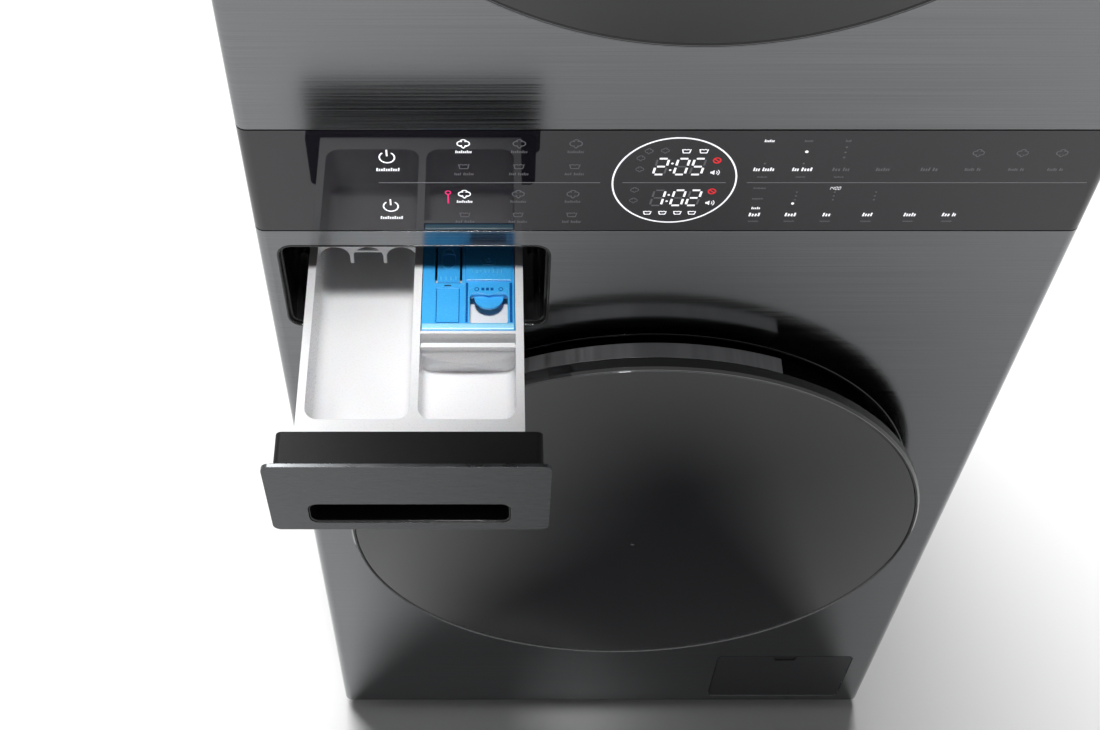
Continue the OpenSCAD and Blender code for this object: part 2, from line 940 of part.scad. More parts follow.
// The black frame in the front panel's opening and the tunnel behind it
module drawer_housing() {
  tunnel_x0 = box_x0 - rail_gap;
  tunnel_x1 = box_x0 + box_w + rail_gap;
  tunnel_z = box_z - rail_gap;
  color("#151517")
    placed() {
      difference() {
        union() {
          along_y(lip_y, lip_y + lip_d)
            round_rect(slot_x0, slot_z0, slot_w, slot_h, slot_r);
          along_y(sheet_t, lip_y)
            round_rect(slot_x0 - 4, slot_z0 - 3, slot_w + 8, slot_h + 6, slot_r);
          block([tunnel_x0 - 2, lip_y + lip_d - 1, tunnel_z - 2.5],
                [tunnel_x1 + 2, housing_y1, roof_z]);
          // Roof with the water ducts that feed the compartments
          block([tunnel_x0 - 2, lip_y + lip_d - 1, roof_z],
                [tunnel_x1 + 2, housing_y1, roof_z + roof_t]);
          for (i = [0 : 2])
            block([tunnel_x0 + 8 + 52 * i, lip_y + lip_d + 20, roof_z + roof_t],
                  [tunnel_x0 + 50 + 52 * i, housing_y1 - 20, roof_z + roof_t + 5]);
        }
        along_y(0, lip_y)
          round_rect(slot_x0, slot_z0, slot_w, slot_h, slot_r);
        along_y(lip_y - 1, lip_y + lip_d - 2)
          round_rect(slot_x0 + lip_t, slot_z0 + lip_t, slot_w - 2 * lip_t,
                     slot_h - 2 * lip_t, slot_r - lip_t);
        block([tunnel_x0, lip_y + 2, tunnel_z], [tunnel_x1, housing_y1 - 2.5, roof_z]);
        rod_z(tunnel_x0 + 40, housing_y1 - 24, 9, tunnel_z - 4, tunnel_z + 1);
      }
      // Stop rib that the release tab's hook meets
      block([tab_x0 - 6, stop_y, stop_z], [tab_x0 + tab_w + 6, stop_y + stop_t, roof_z + 1]);
      // Buffers for the shoulders of the front block
      for (s = [-1, 1])
        rod_y(-drawer_x + s * (slot_w / 2 - buffer_in), slot_z0 + buffer_up, buffer_r,
              shut_y + clear, lip_y + lip_d - 1);
      // Rails under the box
      for (x = [box_x0 + 20, box_x0 + box_w - 24])
        block([x, lip_y + lip_d, tunnel_z], [x + 4, housing_y1 - 2.5, box_z]);
    }
}

// Cross-section of a well between two walls, with its foot rounded
module trough(a0, a1) {
  f = well_foot;
  translate([a0, well_z + f])
    square([a1 - a0, rim_z + 1 - well_z - f]);
  translate([a0 + f, well_z])
    square([a1 - a0 - 2 * f, box_h]);
  for (a = [a0 + f, a1 - f])
    translate([a, well_z + f])
      circle(f);
}

// A well with round corners and a rounded foot, cut down to the compartments' floor
module well(x0, y0, x1, y1) {
  r = well_r;
  along_y(y0 + r, y1 - r)
    trough(x0, x1);
  translate([x0 + r, 0, 0])
    rotate([90, 0, 90])
      linear_extrude(x1 - x0 - 2 * r)
        trough(y0, y1);
  for (x = [x0 + r, x1 - r], y = [y0 + r, y1 - r])
    translate([x, y, 0])
      rotate_extrude()
        intersection() {
          trough(-r, r);
          translate([0, well_z])
            square([r, box_h]);
        }
}

module drawer_box() {
  color("white")
    placed() {
      difference() {
        block([box_x0, box_y0, box_z], [box_x0 + box_w, box_y1, rim_z]);
        well(main_x0, well_y0, main_x0 + main_w, well_y1);
        intersection() {
          well(small_x0, well_y0, small_x1, divider_y + well_r);
          block([box_x0, box_y0, box_z], [small_x1, divider_y, rim_z + 1]);
        }
        along_z(well_z, rim_z + 1)
          translate([small_x0, divider_y + divider_t])
            square([small_w, well_y1 - divider_y - divider_t]);
        // Sockets for the flap's pins
        rod_x(flap_y, flap_z, flap_pin_r + run, small_x0 - 3, small_x1 + 3);
        // Outlets for the washing water at the back
        for (x = [main_x0 + 12, main_x0 + 30, main_x0 + 48])
          block([x, well_y1 - 1, well_z], [x + 10, box_y1 + 1, well_z + 12]);
      }
      // Tube of the siphon under the insert's cap
      difference() {
        rod_z(siphon_x, siphon_y, siphon_r, box_z, rim_z - 12);
        rod_z(siphon_x, siphon_y, siphon_r - 1.5, box_z - 1, rim_z - 11);
      }
      comb();
    }
}

// The arched comb across the main compartment that calms the water
module comb() {
  bay = (main_w - 2 * post_w) / 3;
  rise = bay / 2;
  arch_z = rim_z - 5;
  difference() {
    block([main_x0, comb_y, rim_z - 24], [main_x0 + main_w, comb_y + 2.5, rim_z - 1]);
    for (i = [0 : 2]) {
      x = main_x0 + i * (bay + post_w);
      block([x, comb_y - 1, rim_z - 25], [x + bay, comb_y + 4, arch_z - rise]);
      rod_y(x + bay / 2, arch_z - rise, bay / 2, comb_y - 1, comb_y + 4);
    }
  }
  block([main_x0 + bay, comb_y, arch_z - 6],
        [main_x0 + 2 * bay + 2 * post_w, comb_y + 2, arch_z - 4]);
}

module drawer_front_block() {
  x0 = -drawer_x - block_w / 2;
  pocket_x0 = -drawer_x - grip_w / 2;
  color("#202022")
    placed()
      difference() {
        along_y(block_y, box_y0)
          round_rect(x0, block_z0, block_w, rim_z + block_rise - block_z0, 5);
        // Pocket for the fingers, open upwards inside behind the slot's upper edge
        along_y(block_y - 1, block_y + grip_d)
          round_rect(pocket_x0, grip_z0, grip_w, grip_h, 7);
        along_y(block_y + 6, block_y + grip_d)
          round_rect(pocket_x0, grip_z0, grip_w, grip_h + 14, 7);
      }
}

module drawer_front_plate() {
  color("#505255")
    placed()
      difference() {
        along_y(plate_y, plate_y + plate_t)
          round_rect(-drawer_x - plate_w / 2, slot_z0 + plate_gap, plate_w, plate_h, 6);
        along_y(plate_y - 1, plate_y + plate_t + 1)
          round_rect(-drawer_x - grip_w / 2, grip_z0, grip_w, grip_h, 7);
      }
}

module softener_insert() {
  color("#2f9be6")
    placed() {
      difference() {
        block([insert_x0, insert_y0, well_z], [insert_x1, insert_y1, insert_z]);
        block([insert_x0 + skin, insert_y0 + skin, well_z - 1],
              [insert_x1 - skin, insert_y1 - skin, insert_z - skin]);
        // Slots on both sides of the release tab and its own place
        block([tab_x0 - tab_gap, tab_y, insert_z - skin - 1],
              [tab_x0 + tab_w + tab_gap, tab_y + tab_l + tab_gap, insert_z + 1]);
        // Shallow panel in front of the tab and its small slot
        block([tab_x0 - 1, insert_y0 + 8, insert_z - 0.6],
              [tab_x0 + tab_w + 1, insert_y0 + 41, insert_z + 1]);
        block([tab_x0 + 5.5, insert_y0 + 42.5, insert_z - 1],
              [tab_x0 + 10.5, insert_y0 + 44, insert_z + 1]);
        // Window down to the softener
        along_z(insert_z - skin - 1, insert_z + 1)
          round_rect(window_x0, window_y0, window_w, window_l, 3);
      }
      // Bright lip along the front edge
      block([insert_x0, insert_y0, insert_z], [insert_x1, insert_y0 + 7, insert_z + 1]);
      // Raised part over the softener well
      difference() {
        block([window_x0 - 3, insert_y0 + 47, insert_z],
              [window_x0 + window_w + 3, insert_y1, insert_z + 1.2]);
        rod_z(siphon_x, siphon_y, 3, insert_z, insert_z + 2);
      }
      // Half-round funnel lip at the back of the window
      intersection() {
        rod_z(window_x0 + window_w / 2, window_y0 + window_l, 11, insert_z - 5, insert_z - 3);
        block([window_x0, window_y0 + 10, insert_z - 6], [window_x0 + window_w,
           window_y0 + window_l + 2, insert_z]);
      }
      block([window_x0, window_y0 + window_l, insert_z - 5],
            [window_x0 + window_w, window_y0 + window_l + skin, insert_z - skin]);
      // Cap over the siphon's tube
      difference() {
        rod_z(siphon_x, siphon_y, siphon_r + 3.5, well_z + 4, insert_z - skin);
        rod_z(siphon_x, siphon_y, siphon_r + 2, well_z + 3, insert_z - 2 * skin);
      }
      // Bridge under the tab's root that carries its pivot
      difference() {
        block([tab_x0 - tab_gap, tab_y - 4, insert_z - 8],
              [tab_x0 + tab_w + tab_gap, tab_y - 0.5, insert_z - skin]);
        rod_x(tab_y, insert_z - 4, 2, tab_x0 - tab_gap - 1, tab_x0 + tab_w + tab_gap + 1);
      }
      for (x = [tab_x0 - tab_gap - 2, tab_x0 + tab_w + tab_gap])
        difference() {
          block([x, tab_y - 4, insert_z - 8], [x + 2, tab_y + 4, insert_z - skin]);
          rod_x(tab_y, insert_z - 4, 1.5 + run, x - 1, x + 3);
        }
    }
}

// The springy tab that lets the drawer out past its stop
module release_tab() {
  color("#2388d6")
    placed() {
      difference() {
        block([tab_x0, tab_y + 0.5, insert_z - skin], [tab_x0 + tab_w, tab_y + tab_l, insert_z]);
        rod_z(tab_x0 + tab_w / 2, tab_y + 22, 6.5, insert_z - 0.5, insert_z + 1);
      }
      block([tab_x0, tab_y + tab_l - hook_l, insert_z],
            [tab_x0 + tab_w, tab_y + tab_l, insert_z + tab_hook]);
      block([tab_x0 + 2, tab_y + 0.5, insert_z - 5], [tab_x0 + tab_w - 2, tab_y + 4, insert_z - skin]);
      rod_x(tab_y, insert_z - 4, 1.5, tab_x0 - tab_gap - 2, tab_x0 + tab_w + tab_gap + 2);
    }
}

// The flap that holds liquid or lets powder pass
module detergent_flap() {
  x0 = small_x0 + clear;
  x1 = small_x1 - clear;
  r = 60;
  color("#f2f3f4")
    placed() {
      intersection() {
        block([x0, flap_y - 1.2, flap_z - flap_h], [x1, flap_y + 1.2, flap_z + 1]);
        rod_y((x0 + x1) / 2, flap_z - flap_h + r, r, flap_y - 2, flap_y + 2);
      }
      block([x0, flap_y - 2, flap_z - 2], [x1, flap_y + 2, flap_z + 2]);
      rod_x(flap_y, flap_z, flap_pin_r, small_x0 - 2, small_x1 + 2);
    }
}

// ---------------------------------------------------------------- washer

module inlet_valves() {
  y1 = cab_d - fitting_in;
  color("white")
    placed()
      for (s = [-1, 1]) {
        x = valve_x + s * valve_gap / 2;
        difference() {
          rod_y(x, valve_z, inlet_r, y1 - spigot_l, y1);
          rod_y(x, valve_z, 8, y1 - spigot_l - 1, y1 + 1);
        }
        block([x - 18, y1 - spigot_l - 30, valve_z - 18], [x + 18, y1 - spigot_l, valve_z + 18]);
        rod_y(x, valve_z, 7, y1 - spigot_l - 60, y1 - spigot_l - 30);
        // Mounting plate behind the rear panel's opening
        block([x - 24, y1 - spigot_l, valve_z - 26], [x + 24, y1 - spigot_l + 3, valve_z - 18]);
        block([x - 24, y1 - spigot_l, valve_z - 26], [x + 24, rear_y - sheet_t, valve_z - 24]);
      }
}

module drain_pump() {
  y0 = filter_y + 60;
  color("#3b3b3f")
    placed() {
      difference() {
        union() {
          rod_y(hatch_x, filter_z, filter_r + 6, filter_y + 2, y0 + 40);
          rod_y(hatch_x, filter_z, filter_r + 12, filter_y + 2, filter_y + 6);
        }
        rod_y(hatch_x, filter_z, filter_r + run, filter_y + 1, y0);
      }
      rod_y(hatch_x, filter_z, 22, y0 + 40, y0 + 90);
      // Foot down to the base pan
      block([hatch_x - 24, filter_y + 14, foot_h + sheet_t],
            [hatch_x + 24, y0 + 30, filter_z - filter_r]);
      // Inlet for the sump hose and outlet for the drain hose
      rod_x(pump_in_y, filter_z, 12, hatch_x - filter_r - 22, hatch_x - filter_r - 3);
      rod_z(hatch_x, pump_in_y, 12, filter_z + filter_r + 3, filter_z + filter_r + 30);
    }
}

module pump_filter() {
  color("#d9dbdc")
    placed() {
      rod_y(hatch_x, filter_z, filter_r, filter_y + 3, filter_y + 16);
      rod_y(hatch_x, filter_z, filter_r + 6, filter_y - 1.5, filter_y + 1.5);
      rod_y(hatch_x, filter_z, filter_r, filter_y + 1.5, filter_y + 3);
      difference() {
        rod_y(hatch_x, filter_z, filter_r - 5, filter_y + 16, filter_y + 52);
        rod_y(hatch_x, filter_z, filter_r - 8, filter_y + 16, filter_y + 53);
        for (a = [0 : 30 : 150])
          translate([hatch_x, 0, filter_z])
            rotate([0, a, 0])
              block([-filter_r, filter_y + 20, -3], [filter_r, filter_y + 46, 3]);
      }
      // Bar for turning the filter
      block([hatch_x - filter_r + 2, filter_y - 9, filter_z - 5],
            [hatch_x + filter_r - 2, filter_y - 1.5, filter_z + 5]);
    }
}

module pump_access_cover() {
  x1 = hatch_x0 + hatch_w;
  pin_z = hatch_z0 + hatch_pin_up;
  color("#2c2d30")
    placed() {
      difference() {
        along_y(0, hatch_t)
          round_rect(hatch_x0, hatch_z0, hatch_w, hatch_h, 6);
        // Finger notch in the upper edge
        along_y(-1, hatch_t + 1)
          round_rect(hatch_x - 12.5, hatch_z0 + hatch_h - 11, 25, 20, 4);
      }
      // Stiffening rim and the shelf behind the notch
      difference() {
        along_y(hatch_t, hatch_t + 3)
          round_rect(hatch_x0 + 4, hatch_z0 + 10, hatch_w - 8, hatch_h - 14, 4);
        along_y(hatch_t - 1, hatch_t + 4)
          round_rect(hatch_x0 + 6, hatch_z0 + 12, hatch_w - 12, hatch_h - 30, 3);
      }
      // Ears and pins at the lower edge
      for (x = [hatch_x0 + 1, x1 - 4])
        block([x, hatch_t, pin_z - 3], [x + 3, hatch_pin_in + 2, pin_z + 3]);
      rod_x(hatch_pin_in, pin_z, hatch_pin_r, hatch_x0 - 4, hatch_x0 + 1);
      rod_x(hatch_pin_in, pin_z, hatch_pin_r, x1 - 1, x1 + 4);
    }
}

// A quarter turn of hose from +X round to +Y
module elbow() {
  rotate_extrude(angle = 90)
    translate([hose_bend, 0])
      circle(hose_r);
}

module hoses() {
  bend = hose_bend;
  color("#55565a")
    placed() {
      // From the tub's sump down, forward and across to the pump
      rod_z(sump_x, sump_y, hose_r, filter_z + bend, sump_z);
      translate([sump_x, sump_y - bend, filter_z + bend])
        rotate([0, -90, 0])
          rotate([0, 0, 90])
            elbow();
      rod_y(sump_x, filter_z, hose_r, pump_in_y + bend, sump_y - bend);
      translate([sump_x + bend, pump_in_y + bend, filter_z])
        rotate([0, 0, 180])
          elbow();
      rod_x(pump_in_y, filter_z, hose_r, sump_x + bend, hatch_x - filter_r - 22);
      // Drain pipe along the base to the rear spigot
      rod_y(drain_x, drain_z, drain_r, cab_d - 60, cab_d - fitting_in);
      rod_y(drain_x, drain_z, drain_r + 2, 200, cab_d - 60);
    }
}

module tub_front() {
  color("#d4d6d8")
    placed()
      turned(washer_z)
        union() {
          band(mouth_r + 8, mouth_r + 11, tub_y0 - 9, tub_y0);
          band(mouth_r + 8, tub_r, tub_y0, tub_y0 + tub_t);
          band(tub_r - tub_t, tub_r, tub_y0, tub_split);
          band(tub_r - tub_t, tub_r + 8, tub_split - 6, tub_split);
        }
}

module tub_rear() {
  color("#d4d6d8")
    placed()
      difference() {
        union() {
          turned(washer_z)
            union() {
              band(tub_r - tub_t, tub_r + 8, tub_split, tub_split + 6);
              band(tub_r - tub_t, tub_r, tub_split, tub_y1);
              band(0, tub_r, tub_y1 - tub_t, tub_y1);
              band(0, bearing_r + 6, hub_y0, hub_y1);
            }
          // Radial ribs on the back wall
          for (a = [0 : 30 : 330])
            translate([0, 0, washer_z])
              rotate([0, a, 0])
                block([bearing_r, tub_y1, -1.5], [tub_r - 6, tub_y1 + 10, 1.5]);
          // Sump, and lugs for the springs and dampers
          block([sump_x - 26, sump_y - 26, sump_z], [sump_x + 26, sump_y + 26, sump_z + 40]);
          for (s = [-1, 1]) {
            block([s * spring_x - 8, spring_y - 5, spring_z - 24],
                  [s * spring_x + 8, spring_y + 5, spring_z]);
            block([s * damper_x1 - 12, damper_y - 8, damper_z1],
                  [s * damper_x1 + 12, damper_y + 8, damper_z1 + 26]);
          }
        }
        rod_y(0, washer_z, tub_r - tub_t, tub_split - 1, hub_y0);
        turned(washer_z)
          band(bearing_r + 6, tub_r - tub_t, hub_y0 - 1, tub_y1 - tub_t);
        rod_y(0, washer_z, bearing_r, hub_y0 + 2, hub_y0 + 2 + bearing_t);
        rod_y(0, washer_z, bearing_r, hub_y1 - 2 - bearing_t, hub_y1 - 2);
        rod_y(0, washer_z, shaft_r + 3, hub_y0 - 1, hub_y1 + 1);
      }
}

module drum_bearings() {
  color("silver")
    placed()
      for (y = [hub_y0 + 2, hub_y1 - 2 - bearing_t])
        difference() {
          rod_y(0, washer_z, bearing_r, y, y + bearing_t);
          rod_y(0, washer_z, shaft_r + run, y - 1, y + bearing_t + 1);
        }
}

module wash_drum() {
  pitch = (drum_y1 - drum_y0 - 60) / (hole_rows - 1);
  color("silver")
    placed()
      difference() {
        turned(washer_z)
          union() {
            band(mouth_r + 14, drum_r, drum_y0, drum_y0 + drum_t);
            band(mouth_r + 14, mouth_r + 14 + drum_t, drum_y0 - 5, drum_y0);
            band(drum_r - drum_t, drum_r, drum_y0, drum_y1);
            band(0, drum_r, drum_y1 - drum_t, drum_y1);
          }
        for (j = [0 : hole_rows - 1], i = [0 : hole_count - 1])
          translate([0, drum_y0 + 30 + j * pitch, washer_z])
            rotate([0, (i + 0.5 * (j % 2)) * 360 / hole_count, 0])
              translate([0, 0, drum_r - drum_t - 2])
                cylinder(r = hole_r, h = drum_t + 4);
      }
}

module drum_lifters() {
  y0 = drum_y0 + 25;
  y1 = drum_y1 - 25;
  seat = sqrt(pow(drum_r - drum_t, 2) - pow(28, 2));
  color("#e8e9ea")
    placed()
      for (a = [0 : 120 : 240])
        translate([0, 0, washer_z])
          rotate([0, a, 0])
            along_y(y0, y1)
              difference() {
                polygon([[-28, -seat - 1], [-14, -seat + 42], [-5, -seat + 50],
                         [5, -seat + 50], [14, -seat + 42], [28, -seat - 1]]);
                difference() {
                  square([100, 3 * drum_r], center = true);
                  circle(drum_r - drum_t);
                }
              }
}

module drum_shaft() {
  color("#a9abad")
    placed() {
      rod_y(0, washer_z, shaft_r, drum_y1 + spider_t - 4, shaft_y1);
      // Three-armed spider on the drum's back
      difference() {
        union() {
          rod_y(0, washer_z, 40, drum_y1, drum_y1 + spider_t);
          for (a = [0 : 120 : 240])
            translate([0, 0, washer_z])
              rotate([0, a, 0])
                along_y(drum_y1, drum_y1 + spider_t)
                  polygon([[-22, 0], [-12, -drum_r + 16], [12, -drum_r + 16], [22, 0]]);
        }
        for (a = [0 : 120 : 240])
          translate([0, 0, washer_z])
            rotate([0, a, 0])
              block([-6, drum_y1 + 4, -drum_r + 26], [6, drum_y1 + spider_t + 1, -46]);
      }
    }
}

module motor_stator() {
  core_r = rotor_r - 34;
  color("#b87333")
    placed() {
      turned(washer_z)
        band(core_r - 14, core_r, stator_y, stator_y + stator_d);
      for (i = [0 : stator_teeth - 1])
        translate([0, 0, washer_z])
          rotate([0, i * 360 / stator_teeth, 0])
            block([core_r - 1, stator_y + 2, -2.5],
                  [rotor_r - 10 - gap_motor, stator_y + stator_d - 2, 2.5]);
      // Feet on the tub's ribs
      for (a = [0 : 60 : 300])
        translate([0, 0, washer_z])
          rotate([0, a + 15, 0])
            rod_y(core_r - 7, 0, 5, tub_y1, stator_y);
    }
}

module motor_rotor() {
  y1 = stator_y + stator_d + 8;
  color("#8c8f92")
    placed()
      difference() {
        turned(washer_z)
          union() {
            band(rotor_r - 4, rotor_r, stator_y - 4, y1 + 3);
            band(rotor_r - 10, rotor_r - 4, stator_y, stator_y + stator_d);
            band(shaft_r, rotor_r, y1, y1 + 3);
            band(shaft_r, 36, y1 - 4, y1 + 6);
          }
        for (a = [0 : 30 : 330])
          translate([0, 0, washer_z])
            rotate([0, a, 0])
              block([54, y1 - 1, -8], [rotor_r - 26, y1 + 4, 8]);
      }
}

module door_gasket() {
  color("#3a3b3e")
    placed()
      turned(washer_z)
        union() {
          // Clamped on the surround's collar
          band(collar_r + surround_t, collar_r + surround_t + 3, recess_d + 3, recess_d + 19);
          band(bowl_r + 4, collar_r + surround_t + 3, recess_d + collar_d + 1, recess_d + 19);
          band(bowl_r + 4, bowl_r + 7, recess_d + 9, recess_d + 19);
          // Bellows fold and the clamp on the tub
          band(collar_r + surround_t, mouth_r + 24, recess_d + 16, recess_d + 19);
          band(mouth_r + 21, mouth_r + 24, recess_d + 16, tub_y0 - 10);
          band(mouth_r + 5, mouth_r + 24, tub_y0 - 13, tub_y0 - 10);
          band(mouth_r + 5, mouth_r + 8, tub_y0 - 13, tub_y0 + 2);
        }
}

module counterweights() {
  y0 = tub_y0 - 22;
  color("#8a8b8c")
    placed()
      for (s = [-1, 1])
        intersection() {
          turned(washer_z)
            band(mouth_r + 27, tub_r, y0, tub_y0);
          translate([-tub_r, y0 - 1, washer_z + (s > 0 ? 20 : -tub_r - 20)])
            cube([2 * tub_r, 40, tub_r]);
        }
}

// Springs that hang the tub and dampers that steady it
module suspension() {
  arm = 30;
  color("#6d6f72")
    placed()
      for (s = [-1, 1]) {
        translate([s * spring_x, spring_y, spring_z + arm])
          coil_spring(14, 2, deck_z - spring_z - 2 * arm, 11);
        for (z = [spring_z, deck_z - arm - 4]) {
          rod_z(s * spring_x, spring_y, 3, z, z + arm + 4);
          block([s * spring_x - 16, spring_y - 3, z == spring_z ? z + arm - 3 : z],
                [s * spring_x + 16, spring_y + 3, z == spring_z ? z + arm + 2 : z + 5]);
        }
        damper(s);
      }
}

// A helical spring of wire radius w standing on Z = 0, closed at both ends
module coil_spring(r, w, h, turns) {
  sides = 6;
  steps = 10 * turns;
  points = [for (i = [0 : steps], k = [0 : sides - 1])
    let (a = 360 * i / 10, b = 360 * k / sides)
      [(r + w * cos(b)) * cos(a), (r + w * cos(b)) * sin(a), h * i / steps + w * sin(b)]];
  walls = [for (i = [0 : steps - 1], k = [0 : sides - 1])
    let (n = (k + 1) % sides)
      [i * sides + k, i * sides + n, (i + 1) * sides + n, (i + 1) * sides + k]];
  ends = [[for (k = [sides - 1 : -1 : 0]) k], [for (k = [0 : sides - 1]) steps * sides + k]];
  polyhedron(points, concat(walls, ends));
}

// A damper leaning from the base pan up to the tub on side s
module damper(s) {
  foot_z = foot_h + pan_h;
  rise = damper_z1 - foot_z;
  lean = atan2(damper_x0 - damper_x1, rise);
  len = sqrt(pow(damper_x0 - damper_x1, 2) + rise * rise) - 6 * sin(lean);
  translate([s * damper_x0, damper_y, foot_z])
    rotate([0, -s * lean, 0]) {
      cylinder(r = 15, h = len * 0.6);
      cylinder(r = 6, h = len);
    }
  block([s * damper_x0 - 22, damper_y - 16, foot_h + sheet_t],
        [s * damper_x0 + 22, damper_y + 16, foot_z + 4]);
}

// ---------------------------------------------------------------- dryer

module dryer_drum() {
  lip = 30;
  color("silver")
    placed() {
      turned(dryer_z)
        union() {
          band(dryer_r - drum_t, dryer_r, dryer_y0, dryer_y1);
          band(dryer_r - lip, dryer_r, dryer_y0, dryer_y0 + drum_t);
          band(dryer_r - lip, dryer_r, dryer_y1 - drum_t, dryer_y1);
        }
      // Baffles that lift the laundry
      for (a = [60 : 120 : 300])
        translate([0, 0, dryer_z])
          rotate([0, a, 0])
            along_y(dryer_y0 + drum_t, dryer_y1 - drum_t)
              intersection() {
                polygon([[-34, -dryer_r], [-10, -dryer_r + 50], [10, -dryer_r + 50],
                         [34, -dryer_r]]);
                circle(dryer_r - drum_t / 2);
              }
    }
}

module drum_bulkheads() {
  w = inner_x;
  y_front = dryer_y0 - clear - 8;
  y_rear = dryer_y1 + clear;
  color("#c6c8ca")
    placed() {
      // Front bulkhead with its throat and the lint filter's slot
      difference() {
        union() {
          block([-w, y_front - bulkhead_t, deck_z + deck_rim], [w, y_front, z_top - 20]);
          turned(dryer_z)
            band(collar_r + 2, collar_r + 5, recess_d + collar_d, y_front);
          turned(dryer_z)
            band(dryer_r - 24, dryer_r - 4, y_front, dryer_y0 - clear);
        }
        rod_y(0, dryer_z, collar_r + 2, recess_d, y_front + 1);
        block([-lint_w / 2 - clear, lint_y0 - clear, lint_z0],
              [lint_w / 2 + clear, lint_y0 + lint_t + clear, dryer_z - collar_r + 40]);
      }
      // Rear bulkhead with its air grille and the rollers' pins
      difference() {
        block([-w, y_rear, deck_z + deck_rim], [w, y_rear + bulkhead_t, z_top - 20]);
        for (a = [0 : 30 : 330], r = [60, 100, 140])
          rod_y(r * cos(a), dryer_z + r * sin(a), 9, y_rear - 1, y_rear + bulkhead_t + 1);
      }
      for (s = [-1, 1]) {
        rod_y(s * roller_x, roller_z, roller_pin_r, roller_y - 6, y_rear);
        rod_y(s * roller_x, roller_z, roller_pin_r + 3, roller_y - 8, roller_y - 4);
      }
    }
}

// A support roller with a rubber tread on side s
module drum_roller(s) {
  color("#2a2a2c")
    placed()
      turned(roller_z, s * roller_x)
        union() {
          band(roller_pin_r + run, roller_pin_r + 5, roller_y - 3, roller_y + roller_w + 4);
          band(roller_pin_r + run, roller_r - 6, roller_y + 7, roller_y + roller_w - 7);
          band(roller_r - 6, roller_r, roller_y, roller_y + roller_w);
        }
}

module drum_roller_left() {
  drum_roller(-1);
}

module drum_roller_right() {
  drum_roller(1);
}

// Outline of a belt loop lying at distance d from the drum and the pulley
module belt_loop(d) {
  r1 = dryer_r + d;
  r2 = pulley_r + d;
  dx = motor_x;
  dz = motor_z - dryer_z;
  len = sqrt(dx * dx + dz * dz);
  dir = atan2(dz, dx);
  turn = acos((r1 - r2) / len);
  circle(r1);
  translate([dx, dz])
    circle(r2);
  polygon([for (a = [dir + turn, dir - turn], k = (a > dir ? [0, 1] : [1, 0]))
    k == 0 ? [r1 * cos(a), r1 * sin(a)] : [dx + r2 * cos(a), dz + r2 * sin(a)]]);
}

module drive_belt() {
  color("#18181a")
    placed()
      translate([0, 0, dryer_z])
        along_y(belt_y, belt_y + belt_w)
          difference() {
            belt_loop(clear + belt_t);
            belt_loop(clear);
          }
}

module dryer_motor() {
  color("#7c7f82")
    placed() {
      difference() {
        rod_y(motor_x, motor_z, motor_r, motor_y, motor_y + motor_l);
        rod_y(motor_x, motor_z, 7 + run, motor_y - 1, motor_y + motor_l + 1);
      }
      for (y = [motor_y + 14, motor_y + motor_l - 26])
        block([motor_x - 40, y, deck_z + sheet_t], [motor_x + 40, y + 12, motor_z - motor_r + 12]);
    }
}

module dryer_motor_shaft() {
  fan_y = motor_y + motor_l + 14;
  color("#3f4144")
    placed() {
      rod_y(motor_x, motor_z, 7, belt_y - 6, fan_y + 34);
      rod_y(motor_x, motor_z, pulley_r, belt_y - 2, belt_y + belt_w + 2);
      for (y = [belt_y - 4, belt_y + belt_w + 2])
        rod_y(motor_x, motor_z, pulley_r + 4, y, y + 2);
      // Fan wheel behind the motor
      rod_y(motor_x, motor_z, 60, fan_y, fan_y + 2);
      for (i = [0 : 17])
        translate([motor_x, 0, motor_z])
          rotate([0, i * 20, 0])
            block([40, fan_y, -1], [60, fan_y + 34, 1]);
    }
}

module lint_filter() {
  z1 = dryer_z - collar_r - 6;
  bay = (lint_w - 10) / 4;
  color("#4a4c50")
    placed()
      difference() {
        block([-lint_w / 2, lint_y0, lint_z0], [lint_w / 2, lint_y0 + lint_t, z1]);
        for (i = [0 : 3])
          block([-lint_w / 2 + 10 + i * bay, lint_y0 - 1, lint_z0 + 10],
                [-lint_w / 2 + (i + 1) * bay, lint_y0 + lint_t + 1, z1 - 14]);
      }
}

// Compressor, the two finned heat exchangers and their pipe on the mid deck
module heat_pump() {
  z0 = deck_z + sheet_t;
  x0 = coil_in - side_x;
  x1 = x0 + (fin_count - 1) * fin_pitch + fin_t;
  compressor_x = (x0 + x1) / 2;
  compressor_y = coil_y + 2 * coil_d + coil_gap + compressor_gap + compressor_r;
  color("#9aa0a4")
    placed() {
      rod_z(compressor_x, compressor_y, compressor_r, z0, z0 + coil_h + 4);
      for (y = [coil_y, coil_y + coil_d + coil_gap]) {
        for (i = [0 : fin_count - 1])
          block([x0 + fin_pitch * i, y, z0], [x0 + fin_pitch * i + fin_t, y + coil_d, z0 + coil_h]);
        for (k = [1 : 3])
          rod_x(y + coil_d / 2, z0 + coil_h * k / 4, pipe_r, x0 - fin_pitch, x1 + fin_pitch);
      }
      rod_y(compressor_x, z0 + coil_h / 2, pipe_r, coil_y + 2 * coil_d + coil_gap - fin_pitch,
            compressor_y - compressor_r + fin_pitch);
    }
}

// ---------------------------------------------------------------- assembly

